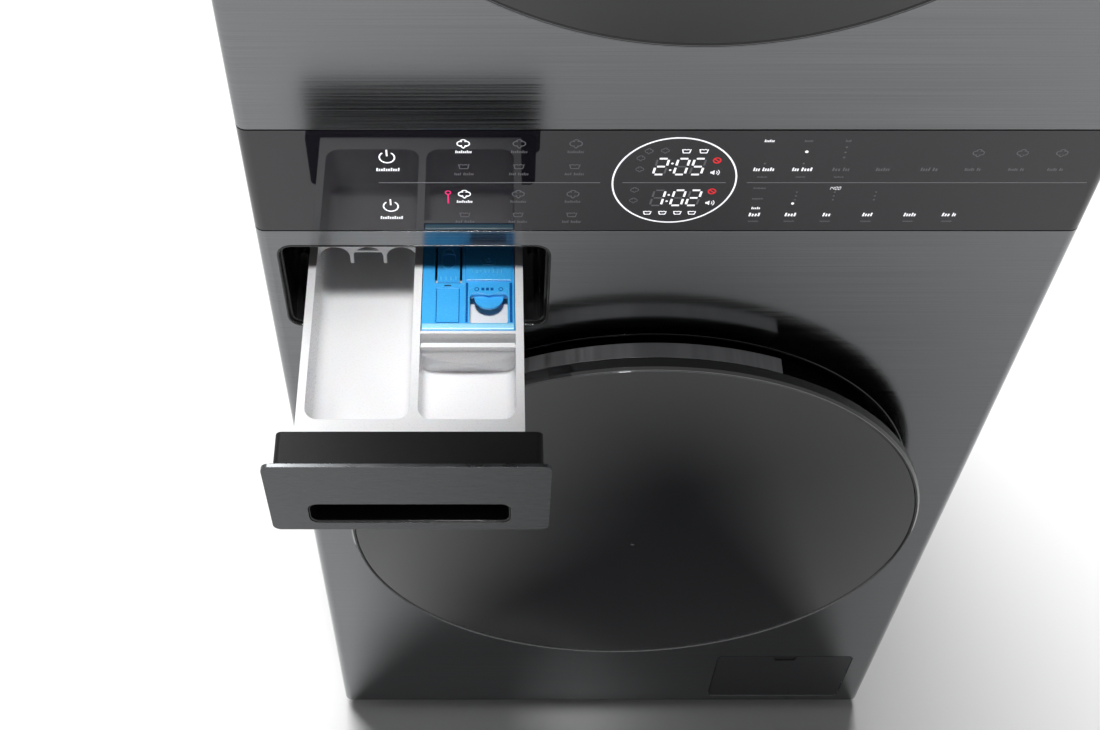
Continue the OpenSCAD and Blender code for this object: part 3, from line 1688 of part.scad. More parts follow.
base_pan();
levelling_feet();
left_side_panel();
right_side_panel();
lower_rear_panel();
upper_rear_panel();
top_cover();
mid_deck();
washer_front_panel();
dryer_front_panel();
control_fascia();
control_housing();
control_board();
washer_porthole_surround();
dryer_porthole_surround();
washer_hinge_bracket();
dryer_hinge_bracket();
washer_door_lock();
washer_door_ring();
washer_door_glass();
washer_door_frame();
washer_door_bowl();
washer_door_bridge();
washer_door_leaf();
dryer_door_ring();
dryer_door_glass();
dryer_door_frame();
dryer_door_leaf();
drawer_housing();
drawer_box();
drawer_front_block();
drawer_front_plate();
softener_insert();
release_tab();
detergent_flap();
inlet_valves();
drain_pump();
pump_filter();
pump_access_cover();
hoses();
tub_front();
tub_rear();
wash_drum();
drum_lifters();
drum_shaft();
drum_bearings();
motor_stator();
motor_rotor();
door_gasket();
counterweights();
suspension();
dryer_drum();
drum_bulkheads();
drum_roller_left();
drum_roller_right();
drive_belt();
dryer_motor();
dryer_motor_shaft();
lint_filter();
heat_pump();
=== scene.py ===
import math

import bmesh
import bpy
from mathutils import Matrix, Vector


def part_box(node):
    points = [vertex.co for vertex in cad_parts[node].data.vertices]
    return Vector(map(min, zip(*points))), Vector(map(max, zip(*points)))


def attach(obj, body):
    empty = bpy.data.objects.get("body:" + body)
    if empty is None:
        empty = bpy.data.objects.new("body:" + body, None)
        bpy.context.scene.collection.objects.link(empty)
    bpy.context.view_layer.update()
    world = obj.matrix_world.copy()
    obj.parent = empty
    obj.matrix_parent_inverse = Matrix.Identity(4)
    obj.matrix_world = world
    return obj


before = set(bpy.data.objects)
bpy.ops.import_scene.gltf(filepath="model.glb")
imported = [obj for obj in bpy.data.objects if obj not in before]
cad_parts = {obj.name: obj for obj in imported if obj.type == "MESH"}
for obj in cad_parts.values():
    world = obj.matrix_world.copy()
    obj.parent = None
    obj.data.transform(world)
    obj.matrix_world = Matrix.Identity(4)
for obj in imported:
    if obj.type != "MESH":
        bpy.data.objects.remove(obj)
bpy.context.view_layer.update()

# Metres in a millimetre: marks and trim are drawn in mm, all else in metres
MM = 0.001


# ---------------------------------------------------------------- places read from the CAD nodes

def low(node):
    """Lowest corner of a CAD node."""
    return Vector(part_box(node)[0])


def high(node):
    """Highest corner of a CAD node."""
    return Vector(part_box(node)[1])


def middle(node):
    """Middle of a CAD node's box."""
    return (low(node) + high(node)) / 2


FRONT_Y = low("control_fascia").y
PANEL_Z = low("control_fascia").z
DOOR_R = (high("washer_door_ring").x - low("washer_door_ring").x) / 2

# ---------------------------------------------------------------- objects and nodes

def add_object(name, data):
    """A new object in the scene."""
    made = bpy.data.objects.new(name, data)
    bpy.context.collection.objects.link(made)
    return made


def add_node(tree, kind, **values):
    """A new node in a tree, with its sockets or settings given by name."""
    made = tree.nodes.new(kind)
    for key, value in values.items():
        if key in made.inputs:
            made.inputs[key].default_value = value
        else:
            setattr(made, key, value)
    return made


# ---------------------------------------------------------------- materials

class Shader:
    """A principled material and the node tree round it."""

    def __init__(self, name, color, **sockets):
        self.mat = bpy.data.materials.new(name)
        self.mat.use_nodes = True
        self.tree = self.mat.node_tree
        self.bsdf = self.tree.nodes["Principled BSDF"]
        self.bsdf.inputs["Base Color"].default_value = (*color, 1)
        self.color = color
        for key, value in sockets.items():
            self.bsdf.inputs[key.replace("_", " ")].default_value = value

    def node(self, kind, **values):
        return add_node(self.tree, kind, **values)

    def link(self, source, target):
        self.tree.links.new(source, target)

    def noise(self, scale, stretch=(1, 1, 1), detail=3.0):
        """Noise over the piece's own metres, stretched along its axes."""
        coord = self.node("ShaderNodeTexCoord")
        mapping = self.node("ShaderNodeMapping", Scale=stretch)
        noise = self.node("ShaderNodeTexNoise", Scale=scale, Detail=detail)
        self.link(coord.outputs["Object"], mapping.inputs["Vector"])
        self.link(mapping.outputs["Vector"], noise.inputs["Vector"])
        return noise.outputs["Fac"]

    def ranged(self, value, lo, hi, start=0.3, stop=0.7):
        """The value, taken from start..stop to lo..hi."""
        node = self.node("ShaderNodeMapRange")
        for key, number in (("From Min", start), ("From Max", stop), ("To Min", lo), ("To Max", hi)):
            node.inputs[key].default_value = number
        self.link(value, node.inputs["Value"])
        return node.outputs["Result"]

    def vary_color(self, value, spread):
        """Makes the base colour lighter and darker by the value."""
        ramp = self.node("ShaderNodeValToRGB")
        for end, factor in ((0, 1 - spread), (1, 1 + spread)):
            ramp.color_ramp.elements[end].color = (*[min(1, c * factor) for c in self.color], 1)
        ramp.color_ramp.elements[0].position = 0.35
        ramp.color_ramp.elements[1].position = 0.65
        self.link(value, ramp.inputs["Fac"])
        self.link(ramp.outputs["Color"], self.bsdf.inputs["Base Color"])

    def vary_roughness(self, value, lo, hi):
        """Takes the roughness from lo to hi by the value."""
        self.link(self.ranged(value, lo, hi), self.bsdf.inputs["Roughness"])

    def relief(self, value, depth, bevel=0.0):
        """Bump of the given depth in metres, over edges rounded by bevel."""
        bump = self.node("ShaderNodeBump", Distance=depth, Strength=1.0)
        self.link(value, bump.inputs["Height"])
        if bevel:
            round_off = self.node("ShaderNodeBevel", samples=4, Radius=bevel)
            self.link(round_off.outputs["Normal"], bump.inputs["Normal"])
        self.link(bump.outputs["Normal"], self.bsdf.inputs["Normal"])


def brushed(name, color, rough, stretch, depth=0.02 * MM, spread=0.10):
    """Sheet metal whose brushing runs along the axes that stretch gives small numbers."""
    s = Shader(name, color, Metallic=1.0)
    fine = s.noise(1.0, stretch, 4.0)
    s.vary_color(fine, spread)
    s.vary_roughness(fine, rough - 0.06, rough + 0.08)
    s.relief(fine, depth, 0.6 * MM)
    return s.mat


def plastic(name, color, rough, grain, depth, spread=0.05, glow=None, **sockets):
    """Moulded plastic or paint with a fine grain; glow is how deep light enters it, and its share."""
    s = Shader(name, color, **sockets)
    value = s.noise(grain, detail=2.0)
    s.vary_color(s.noise(6.0), spread)
    s.vary_roughness(value, rough - 0.05, rough + 0.05)
    s.relief(value, depth, 0.5 * MM)
    if glow:
        s.bsdf.inputs["Subsurface Scale"].default_value = glow[0]
        s.bsdf.inputs["Subsurface Weight"].default_value = glow[1]
    return s.mat


def dark_steel():
    return brushed("dark_brushed_steel", (0.19, 0.195, 0.2), 0.15, (4, 4, 1300), 0.005 * MM)


def plate_steel():
    return brushed("drawer_plate_steel", (0.09, 0.093, 0.096), 0.27, (40, 40, 1500), 0.003 * MM, 0.03)


def side_paint():
    return plastic("side_paint", (0.035, 0.036, 0.039), 0.42, 900, 0.01 * MM, Metallic=0.3)


def galvanised():
    s = Shader("galvanised_sheet", (0.56, 0.57, 0.58), Metallic=1.0)
    value = s.noise(90, detail=1.0)
    s.vary_color(value, 0.04)
    s.vary_roughness(value, 0.4, 0.48)
    s.relief(s.noise(300), 0.006 * MM, 0.4 * MM)
    return s.mat


def panel_glass():
    s = Shader("panel_glass", (0.0135, 0.0125, 0.0175), Roughness=0.035, IOR=1.6)
    value = s.noise(5)
    s.vary_color(value, 0.08)
    s.vary_roughness(value, 0.02, 0.045)
    return s.mat


def gloss_black(name="gloss_black", rough=0.12):
    return plastic(name, (0.010, 0.010, 0.011), rough, 400, 0.004 * MM)


def grained_black():
    s = Shader("grained_black", (0.006, 0.006, 0.0065))
    s.bsdf.inputs["Specular IOR Level"].default_value = 0.14
    value = s.noise(1500, detail=2.0)
    s.vary_color(value, 0.2)
    s.vary_roughness(value, 0.38, 0.56)
    s.relief(value, 0.14 * MM, 0.6 * MM)
    return s.mat


def door_glass():
    s = Shader("door_tinted_glass", (0.004, 0.0045, 0.0075), Roughness=0.01, IOR=1.7)
    s.bsdf.inputs["Transmission Weight"].default_value = 0.2
    s.vary_color(s.noise(4), 0.05)
    return s.mat


def clear_glass():
    s = Shader("bowl_glass", (0.86, 0.9, 0.92), Roughness=0.02, IOR=1.47)
    s.bsdf.inputs["Transmission Weight"].default_value = 1.0
    s.vary_roughness(s.noise(40), 0.015, 0.025)
    return s.mat


def white_plastic():
    return plastic("white_plastic", (0.80, 0.80, 0.81), 0.30, 800, 0.006 * MM, 0.02, (4 * MM, 0.12))


def blue_plastic(name, color):
    return plastic(name, color, 0.24, 900, 0.006 * MM, 0.04, (2 * MM, 0.08))


def rubber(name, color):
    return plastic(name, color, 0.62, 700, 0.03 * MM, 0.12)


def steel(name, color, rough):
    s = Shader(name, color, Metallic=1.0)
    value = s.noise(1.0, (500, 500, 8), 3.0)
    s.vary_color(value, 0.08)
    s.vary_roughness(value, rough - 0.06, rough + 0.08)
    s.relief(value, 0.01 * MM, 0.4 * MM)
    return s.mat


def concrete():
    s = Shader("concrete", (0.36, 0.35, 0.34), Roughness=0.85)
    value = s.noise(220, detail=6.0)
    s.vary_color(value, 0.25)
    s.relief(value, 0.4 * MM)
    return s.mat


def light_mark(name, color, strength):
    """A lit or printed mark on the panel. It glows by its emission: on lit marks that is the
    display's light, on printed marks a painted glow.
    """
    s = Shader(name, color, Roughness=0.4)
    s.vary_color(s.noise(900), 0.04)
    s.bsdf.inputs["Emission Color"].default_value = (*color, 1)
    s.bsdf.inputs["Emission Strength"].default_value = strength
    return s.mat


def paint_nodes():
    """Gives every CAD node its material."""
    white = white_plastic()
    black = gloss_black()
    zinc = steel("zinc_plate", (0.55, 0.55, 0.56), 0.35)
    cast = steel("cast_alloy", (0.5, 0.5, 0.51), 0.5)
    tub = plastic("tub_plastic", (0.5, 0.51, 0.52), 0.5, 500, 0.03 * MM)
    drum = brushed("drum_steel", (0.6, 0.61, 0.62), 0.26, (500, 10, 500))
    dark = plastic("inner_plastic", (0.03, 0.03, 0.032), 0.5, 700, 0.02 * MM)
    groups = (
        (dark_steel(), ("washer_front_panel", "dryer_front_panel")),
        (side_paint(), ("left_side_panel", "right_side_panel", "top_cover", "pump_access_cover")),
        (plate_steel(), ("drawer_front_plate",)),
        (galvanised(), ("base_pan", "lower_rear_panel", "upper_rear_panel", "mid_deck",
                        "drum_bulkheads")),
        (rubber("foot_rubber", (0.02, 0.02, 0.021)), ("levelling_feet",)),
        (panel_glass(), ("control_fascia",)),
        (dark, ("control_housing", "drain_pump", "lint_filter", "dryer_motor_shaft")),
        (plastic("board_green", (0.01, 0.09, 0.03), 0.4, 300, 0.02 * MM), ("control_board",)),
        (black, ("washer_porthole_surround", "dryer_porthole_surround", "drawer_housing")),
        (gloss_black("door_black", 0.2), ("washer_door_frame", "dryer_door_frame")),
        (gloss_black("ring_black", 0.06), ("washer_door_ring", "dryer_door_ring")),
        (door_glass(), ("washer_door_glass", "dryer_door_glass")),
        (clear_glass(), ("washer_door_bowl",)),
        (brushed("satin_trim", (0.2, 0.2, 0.205), 0.4, (6, 6, 900)), ("washer_door_bridge",)),
        (zinc, ("washer_hinge_bracket", "dryer_hinge_bracket", "washer_door_leaf",
                "dryer_door_leaf", "suspension", "drum_bearings", "motor_rotor")),
        (white, ("drawer_box", "detergent_flap", "washer_door_lock", "inlet_valves",
                 "pump_filter", "drum_lifters")),
        (grained_black(), ("drawer_front_block",)),
        (blue_plastic("blue_plastic", (0.055, 0.43, 0.90)), ("softener_insert",)),
        (blue_plastic("tab_blue", (0.05, 0.40, 0.87)), ("release_tab",)),
        (rubber("hose_rubber", (0.05, 0.05, 0.052)), ("hoses",)),
        (tub, ("tub_front", "tub_rear")),
        (drum, ("wash_drum", "dryer_drum")),
        (cast, ("drum_shaft", "dryer_motor")),
        (plastic("copper", (0.32, 0.13, 0.05), 0.35, 900, 0.05 * MM, Metallic=1.0),
         ("motor_stator",)),
        (rubber("gasket_rubber", (0.09, 0.092, 0.095)), ("door_gasket",)),
        (concrete(), ("counterweights",)),
        (rubber("roller_rubber", (0.03, 0.03, 0.031)), ("drum_roller_left",
                                                        "drum_roller_right")),
        (rubber("belt_rubber", (0.015, 0.015, 0.015)), ("drive_belt",)),
        (steel("fin_aluminium", (0.6, 0.6, 0.62), 0.35), ("heat_pump",)),
    )
    for mat, names in groups:
        for name in names:
            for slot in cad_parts[name].material_slots:
                slot.material = mat


# ---------------------------------------------------------------- raised marks on a face

def on_front(x0, z0, y):
    """Places x, v, d in mm on an upright face: d towards the viewer in front."""
    return lambda x, v, d: Vector((x0 + x * MM, y - d * MM, z0 + v * MM))


def on_back(x0, z0, y):
    """Places x, v, d in mm on an upright face seen from behind."""
    return lambda x, v, d: Vector((x0 - x * MM, y + d * MM, z0 + v * MM))


def on_top(x0, y0, z):
    """Places x, v, d in mm on a level face: v to the back and d up."""
    return lambda x, v, d: Vector((x0 + x * MM, y0 + v * MM, z + d * MM))


def rounded_rect(x0, v0, x1, v1, r):
    """The corner points of a rectangle with round corners, anticlockwise."""
    steps = 5
    points = []
    for cx, cv, start in ((x1 - r, v0 + r, -90), (x1 - r, v1 - r, 0), (x0 + r, v1 - r, 90),
                          (x0 + r, v0 + r, 180)):
        for i in range(steps + 1):
            a = math.radians(start + 90 * i / steps)
            points.append((cx + r * math.cos(a), cv + r * math.sin(a)))
    return points


def circle(cx, cv, r, steps, squash=1.0):
    """Points round a circle, anticlockwise, with its height scaled by squash."""
    turn = 2 * math.pi / steps
    return [(cx + r * math.cos(turn * i), cv + r * squash * math.sin(turn * i)) for i in range(steps)]


class Marks:
    """Small raised shapes on one face, in mm, that become one piece."""

    def __init__(self, place, base=0.0, proud=0.06):
        self.mesh = bmesh.new()
        self.place = place
        self.base = base
        self.proud = proud

    def shape(self, points):
        """A raised polygon. Its points run anticlockwise seen from the front."""
        top = [self.mesh.verts.new(self.place(x, v, self.base + self.proud)) for x, v in points]
        foot = [self.mesh.verts.new(self.place(x, v, self.base)) for x, v in points]
        self.mesh.faces.new(top)
        self.mesh.faces.new(foot[::-1])
        n = len(points)
        for i in range(n):
            j = (i + 1) % n
            self.mesh.faces.new((top[j], top[i], foot[i], foot[j]))

    def bead(self, path, half, closed=True, steps=5):
        """A half-round line along a path."""
        n = len(path)
        rows = []
        for i, (x, v) in enumerate(path):
            before = path[i - 1] if closed or i else path[0]
            after = path[(i + 1) % n] if closed or i < n - 1 else path[-1]
            dx, dv = after[0] - before[0], after[1] - before[1]
            length = math.hypot(dx, dv)
            nx, nv = dv / length, -dx / length
            row = []
            for k in range(steps + 1):
                a = math.pi * k / steps
                side = half * math.cos(a)
                up = self.base + self.proud * math.sin(a)
                row.append(self.mesh.verts.new(self.place(x + nx * side, v + nv * side, up)))
            rows.append(row)
        for a, b in zip(rows, rows[1:] + rows[:1] if closed else rows[1:]):
            for k in range(steps + 1):
                m = (k + 1) % (steps + 1)
                self.mesh.faces.new((a[k], a[m], b[m], b[k]))
        if not closed:
            self.mesh.faces.new(rows[0])
            self.mesh.faces.new(rows[-1])

    def bar(self, x0, v0, x1, v1, w):
        """A straight stroke of width w."""
        length = math.hypot(x1 - x0, v1 - v0)
        ux, uv = (x1 - x0) / length, (v1 - v0) / length
        px, pv = -uv * w / 2, ux * w / 2
        self.shape([(x0 - px, v0 - pv), (x1 - px, v1 - pv), (x1 + px, v1 + pv), (x0 + px, v0 + pv)])

    def arc(self, cx, cv, r, w, start=0.0, stop=360.0, steps=32):
        """A curved stroke of width w from one angle to another, in degrees."""
        turn = math.radians(stop - start) / steps
        first = math.radians(start)
        for i in range(steps):
            a, b = first + turn * i, first + turn * (i + 1)
            ro, ri = r + w / 2, r - w / 2
            self.shape([(cx + at * math.cos(turned), cv + at * math.sin(turned))
                        for at, turned in ((ri, a), (ro, a), (ro, b), (ri, b))])

    def disc(self, cx, cv, r, steps=16):
        """A raised round dot, or a polygon with few steps."""
        self.shape(circle(cx, cv, r, steps))

    def label(self, cx, cv, words, h):
        """Small slanted blocks in place of words, which are given by their lengths."""
        gap = 1.3
        lean = 0.12
        foot_v = cv - 0.8 * h
        x = cx - (sum(words) + gap * (len(words) - 1)) / 2
        for word in words:
            count = max(2, round(word / (h * 0.95)))
            pitch = word / count
            for i in range(count):
                # Every third block is a tall one, like a capital
                tall = h * (1.8 if i % 3 == 0 else 1.3)
                foot = x + pitch * (i + 0.4)
                self.bar(foot, foot_v, foot + lean * tall, foot_v + tall, pitch * 0.6)
            x += word + gap

    def piece(self, name, mat, body="cabinet", slot="panel_glass"):
        """Ends the shapes: one object that rides on the body."""
        bmesh.ops.recalc_face_normals(self.mesh, faces=self.mesh.faces[:])
        mesh = bpy.data.meshes.new(name)
        self.mesh.to_mesh(mesh)
        self.mesh.free()
        obj = add_object(name, mesh)
        mesh.materials.append(mat)
        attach(obj, body)


# ---------------------------------------------------------------- the control panel

# Places on the panel are in mm from its middle and its lower edge
RING_V = 52.0
RING_R = 43.0
START_X = -199
PROGRAMMES_X = (-146.5, -108.5, -70)
# Columns of the options on the right
OPTIONS_X = (60.7, 87.3, 114, 143)
# The bars of a seven-bar digit: their ends as shares of its width and height
BARS = {"a": (0, 1, 1, 1), "b": (1, 1, 1, 0.5), "c": (1, 0.5, 1, 0), "d": (0, 0, 1, 0),
        "e": (0, 0.5, 0, 0), "f": (0, 1, 0, 0.5), "g": (0, 0.5, 1, 0.5)}
SHOWN = {"0": "abcdef", "1": "bc", "2": "abged", "4": "fgbc", "5": "afgcd"}
# How far a digit leans per mm of height, and the share of its stroke cut off each bar's end
SLANT = 0.14
TRIM = 0.75


def digit(marks, char, x, v, w, h, stroke, lit=True):
    """The lit or the dark bars of a slanted digit whose lower left corner is x, v."""
    for key, (x0, v0, x1, v1) in BARS.items():
        if (key in SHOWN[char]) != lit:
            continue
        ax, av = x + x0 * w, v0 * h
        bx, bv = x + x1 * w, v1 * h
        trim = stroke * TRIM / math.hypot(bx - ax, bv - av)
        cx, cv = ax + (bx - ax) * trim, av + (bv - av) * trim
        dx, dv = bx - (bx - ax) * trim, bv - (bv - av) * trim
        marks.bar(cx + SLANT * cv, v + cv, dx + SLANT * dv, v + dv, stroke)


def power_symbol(marks, cx, cv):
    """An open ring with a bar in its gap."""
    r, w = 5.2, 1.0
    marks.arc(cx, cv, r, w, 125, 415)
    marks.bar(cx, cv + 1.2, cx, cv + r + 2.2, w * 1.1)


def cloud(marks, cx, cv, r, w):
    """A rounded leaf-like pictogram."""
    marks.arc(cx - r * 0.5, cv + r * 0.1, r * 0.55, w, 60, 300, 14)
    marks.arc(cx + r * 0.5, cv + r * 0.1, r * 0.55, w, -120, 120, 14)
    marks.arc(cx, cv + r * 0.5, r * 0.55, w, 20, 160, 12)
    marks.bar(cx - r * 0.5, cv - r * 0.4, cx, cv - r, w)
    marks.bar(cx + r * 0.5, cv - r * 0.4, cx, cv - r, w)


def tub_icon(marks, cx, cv, r, w):
    """A wash tub pictogram."""
    marks.bar(cx - r, cv + r * 0.6, cx - r * 0.75, cv - r * 0.6, w)
    marks.bar(cx - r * 0.75, cv - r * 0.6, cx + r * 0.75, cv - r * 0.6, w)
    marks.bar(cx + r * 0.75, cv - r * 0.6, cx + r, cv + r * 0.6, w)
    marks.arc(cx - r * 0.45, cv + r * 0.2, r * 0.35, w, 20, 160, 8)
    marks.arc(cx + r * 0.35, cv + r * 0.2, r * 0.35, w, 20, 160, 8)


def speaker(marks, cx, cv):
    """A loudspeaker with two waves."""
    marks.shape([(cx - 3.0, cv - 0.9), (cx - 1.8, cv - 0.9), (cx - 0.2, cv - 2.3),
                 (cx - 0.2, cv + 2.3), (cx - 1.8, cv + 0.9), (cx - 3.0, cv + 0.9)])
    for r in (1.7, 3.2):
        marks.arc(cx, cv, r, 0.6, -50, 50, 8)


def ring_and_lines(lit, lines):
    """The display's ring, and the line across the panel with its two gaps."""
    lit.arc(0, RING_V, RING_R, 1.2, steps=96)
    line_v = RING_V - 1.3
    for x0, x1 in ((-206, -51.6), (-36, 36), (50.7, 288)):
        lines.bar(x0, line_v, x1, line_v, 0.7)


def start_symbols(lit):
    """The power symbol of each machine over its label."""
    for v in (76, 26):
        power_symbol(lit, START_X, v)
        lit.label(START_X, v - 12.2, (16.5,), 1.7)


def programmes(lit, dim, pink):
    """Two rows of pictograms for each machine: only the first of each upper row is lit."""
    for x in PROGRAMMES_X:
        for v, upper in ((89, True), (67, False), (38.5, True), (17, False)):
            group = lit if upper and x == PROGRAMMES_X[0] else dim
            if upper:
                cloud(group, x, v, 4.0, 0.8)
            else:
                tub_icon(group, x, v, 3.6, 0.7)
            group.label(x, v - 7.6, (11.5,) if upper else (5.0, 7.5), 1.4)
    # Temperature mark beside the washer's lit programme
    mark_x = -158
    pink.arc(mark_x, 40.4, 1.8, 0.9, steps=16)
    pink.bar(mark_x, 39, mark_x, 29, 1.1)


def clock(lit, dim, text, x, v):
    """A time in slanted digits that starts at x, v, with the dark bars dimly seen."""
    w, h = 7.8, 15.8
    for char in text:
        if char == ":":
            for dv in (4.4, 11.0):
                lit.disc(x + SLANT * dv - 0.2, v + dv, 0.85)
            x += 3.0
        else:
            digit(lit, char, x, v, w, h, 1.6)
            digit(dim, char, x, v, w, h, 1.4, lit=False)
            x += 11.2


def display_icons(lit, dim, red):
    """The small signs round the two clocks."""
    for v, r, columns in ((19.2, 2.7, (-16.2, -5.4, 5.3, 15.6)), (82.2, 2.9, (5.6, 17.4))):
        for x in columns:
            tub_icon(lit, x, v, r, 0.75)
    for x, v in ((-25, 75), (-25, 64), (-27, 43), (-27, 32), (-9, 82.5), (-20, 82)):
        cloud(dim, x, v, 2.6, 0.6)
    # A crossed ring beside each clock, and a loudspeaker below it
    x = 27.5
    for v in (73, 41.7):
        red.arc(x, v, 2.5, 1.0, steps=20)
        red.bar(x - 1.7, v + 1.4, x + 1.7, v - 1.4, 0.9)
        speaker(lit, x - 0.3, v - 12)


def dryer_options(lit, dim):
    """Labels of the upper machine's options, with dots for their steps."""
    first, second, third, fourth = OPTIONS_X
    lit.label(first, 92, (7.0,), 1.3)
    dim.label(second, 92, (6.0,), 1.2)
    dim.label(third, 92, (4.0,), 1.2)
    lit.disc(second + 0.2, 81.6, 1.2)
    for x, v in ((third, 86), (third, 81), (third, 76), (first, 70), (second, 70)):
        dim.disc(x, v, 0.8)
    for x, words, group in ((first, (5.0, 8.5), lit), (second, (5.0, 8.0), lit),
                            (third, (6.0, 5.0), dim), (fourth, (10.0,), dim),
                            (175, (7.0, 4.0), dim)):
        group.label(x, 64, words, 1.9)


def washer_options(lit, dim):
    """Labels of the lower machine's options, with dots and the spin speed in small digits."""
    first, second, third, fourth = OPTIONS_X
    for x in (first, second, third):
        dim.label(x, 56.5, (7.0,), 0.9)
    for i, char in enumerate("1400"):
        digit(lit, char, 109.0 + 2.25 * i, 43.4, 1.3, 3.1, 0.42)
    for x in (second, third, fourth):
        for v in (41, 37, 33):
            dim.disc(x, v, 0.7)
    lit.disc(86.2, 29, 1.1)
    dim.label(first, 45, (9.0,), 1.0)
    dim.label(first, 34, (8.0,), 1.0)
    lit.label(first, 24, (6.5,), 1.3)
    for x, words in ((first, (8.5,)), (86.5, (8.5,)), (112.4, (6.0,)), (141.6, (7.5,)),
                     (172, (9.0,)), (200, (6.0, 3.0))):
        lit.label(x, 17, words, 2.0)
        dim.label(x, 10, (7.5,), 1.0)


def far_icons(dim):
    """Three dim pictograms over their labels at the right end."""
    for x in (205, 235, 262):
        cloud(dim, x, 80, 3.6, 0.7)
        dim.label(x, 64, (7.0, 3.0), 1.6)


def panel_marks():
    """All that is lit or printed on the panel, as one piece for each colour."""
    face = on_front(0, PANEL_Z, FRONT_Y)
    lit, dim, red, pink, lines = [Marks(face) for _ in range(5)]
    ring_and_lines(lit, lines)
    start_symbols(lit)
    programmes(lit, dim, pink)
    clock(lit, dim, "2:05", -15.5, 59.0)
    clock(lit, dim, "1:02", -15.0, 27.0)
    display_icons(lit, dim, red)
    dryer_options(lit, dim)
    washer_options(lit, dim)
    far_icons(dim)
    lit.piece("panel_lit_marks", light_mark("lit_white", (0.95, 0.95, 1.0), 0.75))
    # The dim marks and the lines are print, and their emission is a painted glow
    dim.piece("panel_dim_marks", light_mark("dim_print_painted_glow", (0.06, 0.06, 0.066), 1.0))
    red.piece("panel_red_marks", light_mark("lit_red", (0.75, 0.01, 0.02), 0.6))
    pink.piece("panel_pink_mark", light_mark("lit_pink", (0.75, 0.01, 0.16), 0.6))
    lines.piece("panel_lines", light_mark("line_print_painted_glow", (0.16, 0.16, 0.17), 0.35))


# ---------------------------------------------------------------- the softener insert

# The node's box ends at its raised part, this far above the top skin
INSERT_RAISED = 1.2 * MM
# Places on the insert are in mm from its front left corner: the middles of its window, of
# the tab with the shallow panel in front of it, and of the basin
WINDOW_X = 49.6
TAB_X = 19.3
BASIN_X = 49.5


def insert_edges(place, blue):
    """Edges of the window, of its front lip and of the shallow panel's end, in a lighter blue that is
    partly a painted highlight.
    """
    edges = Marks(place, 0.0, 0.45)
    for side in (-1, 1):
        edges.bead([(WINDOW_X + side * dx, v)
                    for dx, v in ((15, 7.6), (15, 37.5), (14.2, 40.0), (12.2, 41.0))],
                   0.6, closed=False)
    edges.bead([(WINDOW_X + dx, v) for dx, v in ((-13.1, 35.9), (-6.2, 35.9), (0, 33.6),
                                                 (6.2, 35.9), (13.1, 35.9))],
               0.45, closed=False)
    for side in (-1, 1):
        edges.bead([(TAB_X + side * dx, v) for dx, v in ((11.7, 45.2), (10.4, 44.9), (8.7, 42.6))],
                   0.5, closed=False)
    edges.bead([(31.4, 9.0), (31.4, 150.0)], 0.4, closed=False)
    edges.piece("insert_edge_lines", blue, "insert", "blue_plastic")


def insert_step(place, blue):
    """Front edge of the raised part, with the basin and the row of bars on it, in a lighter blue that
    is partly a painted highlight.
    """
    step = Marks(place, INSERT_RAISED / MM, 0.4)
    step.bead([(33.0, 47.7), (66.2, 47.7)], 0.6, closed=False)
    step.bead([(BASIN_X + dx, v) for dx, v in ((-6.2, 67.5), (-4.3, 62.2), (4.3, 62.2), (6.2, 67.5))],
              0.45, closed=False)
    step.bead(circle(BASIN_X, 66.6, 1.8, 16), 0.4)
    for i in range(8):
        x = 37.6 + 3.1 * i
        step.bead([(x, 54.4), (x, 57.4)], 0.8, closed=False)
    step.piece("insert_step_and_marks", blue, "insert", "blue_plastic")


def painted_shade_in_grooves(place):
    """Painted shade in place of grooves: dark blue bars beside the window and round the shallow
    panel, and a black bar for the shade in the panel's small slot.
    """
    # A blue darker than the insert's: painted shade where the grooves and recess walls would be
    # shaded
    groove_shade = blue_plastic("groove_painted_shade_blue", (0.005, 0.10, 0.36))
    groove_shade_marks = Marks(place, 0.0, 0.05)
    for x0, x1 in ((32.4, 34.1), (65.1, 67.2)):
        groove_shade_marks.bar((x0 + x1) / 2, 8.4, (x0 + x1) / 2, 45.8, x1 - x0)
    for i in range(3):
        x = 45.2 + 3.4 * i
        groove_shade_marks.bar(x, 38.4, x, 41.0, 2.2)
    for side in (-1, 1):
        groove_shade_marks.arc(WINDOW_X + 9 * side, 39.6, 1.5, 0.6, steps=12)
    groove_shade_marks.piece("painted_shade_in_grooves", groove_shade, "insert", "blue_plastic")
    panel = Marks(place, -0.6, 0.06)
    left, right, front, back = 10.6, 27.5, 8.8, 40.6
    for x0, v0, x1, v1 in ((left, front, right, front), (left, front, left, back),
                           (right, front, right, back)):
        panel.bar(x0, v0, x1, v1, 0.6)
    panel.piece("insert_panel_groove_painted_shade", groove_shade, "insert", "blue_plastic")
    # A black bar sunk in the small slot: painted shade
    slot = Marks(place, -1.0, 0.1)
    slot.bar(TAB_X - 0.5, 42.55, TAB_X - 0.5, 43.95, 4.9)
    slot.piece("insert_small_slot_painted_shade", gloss_black("slot_painted_shade_black"), "insert", "blue_plastic")


def tab_marks(place, blue):
    """Oval finger mark and raised bars on the release tab, in a lighter blue that is partly a painted
    highlight.
    """
    tab = Marks(place, -0.1, 0.5)
    tab.bead(circle(TAB_X, 68.9, 5.4, 40, 1.85), 0.5)
    for i in range(4):
        x = TAB_X + 3.8 * (i - 1.5)
        tab.bead([(x, 48.2), (x, 51.8)], 0.9, closed=False)
    tab.piece("tab_marks", blue, "tab", "blue_plastic")


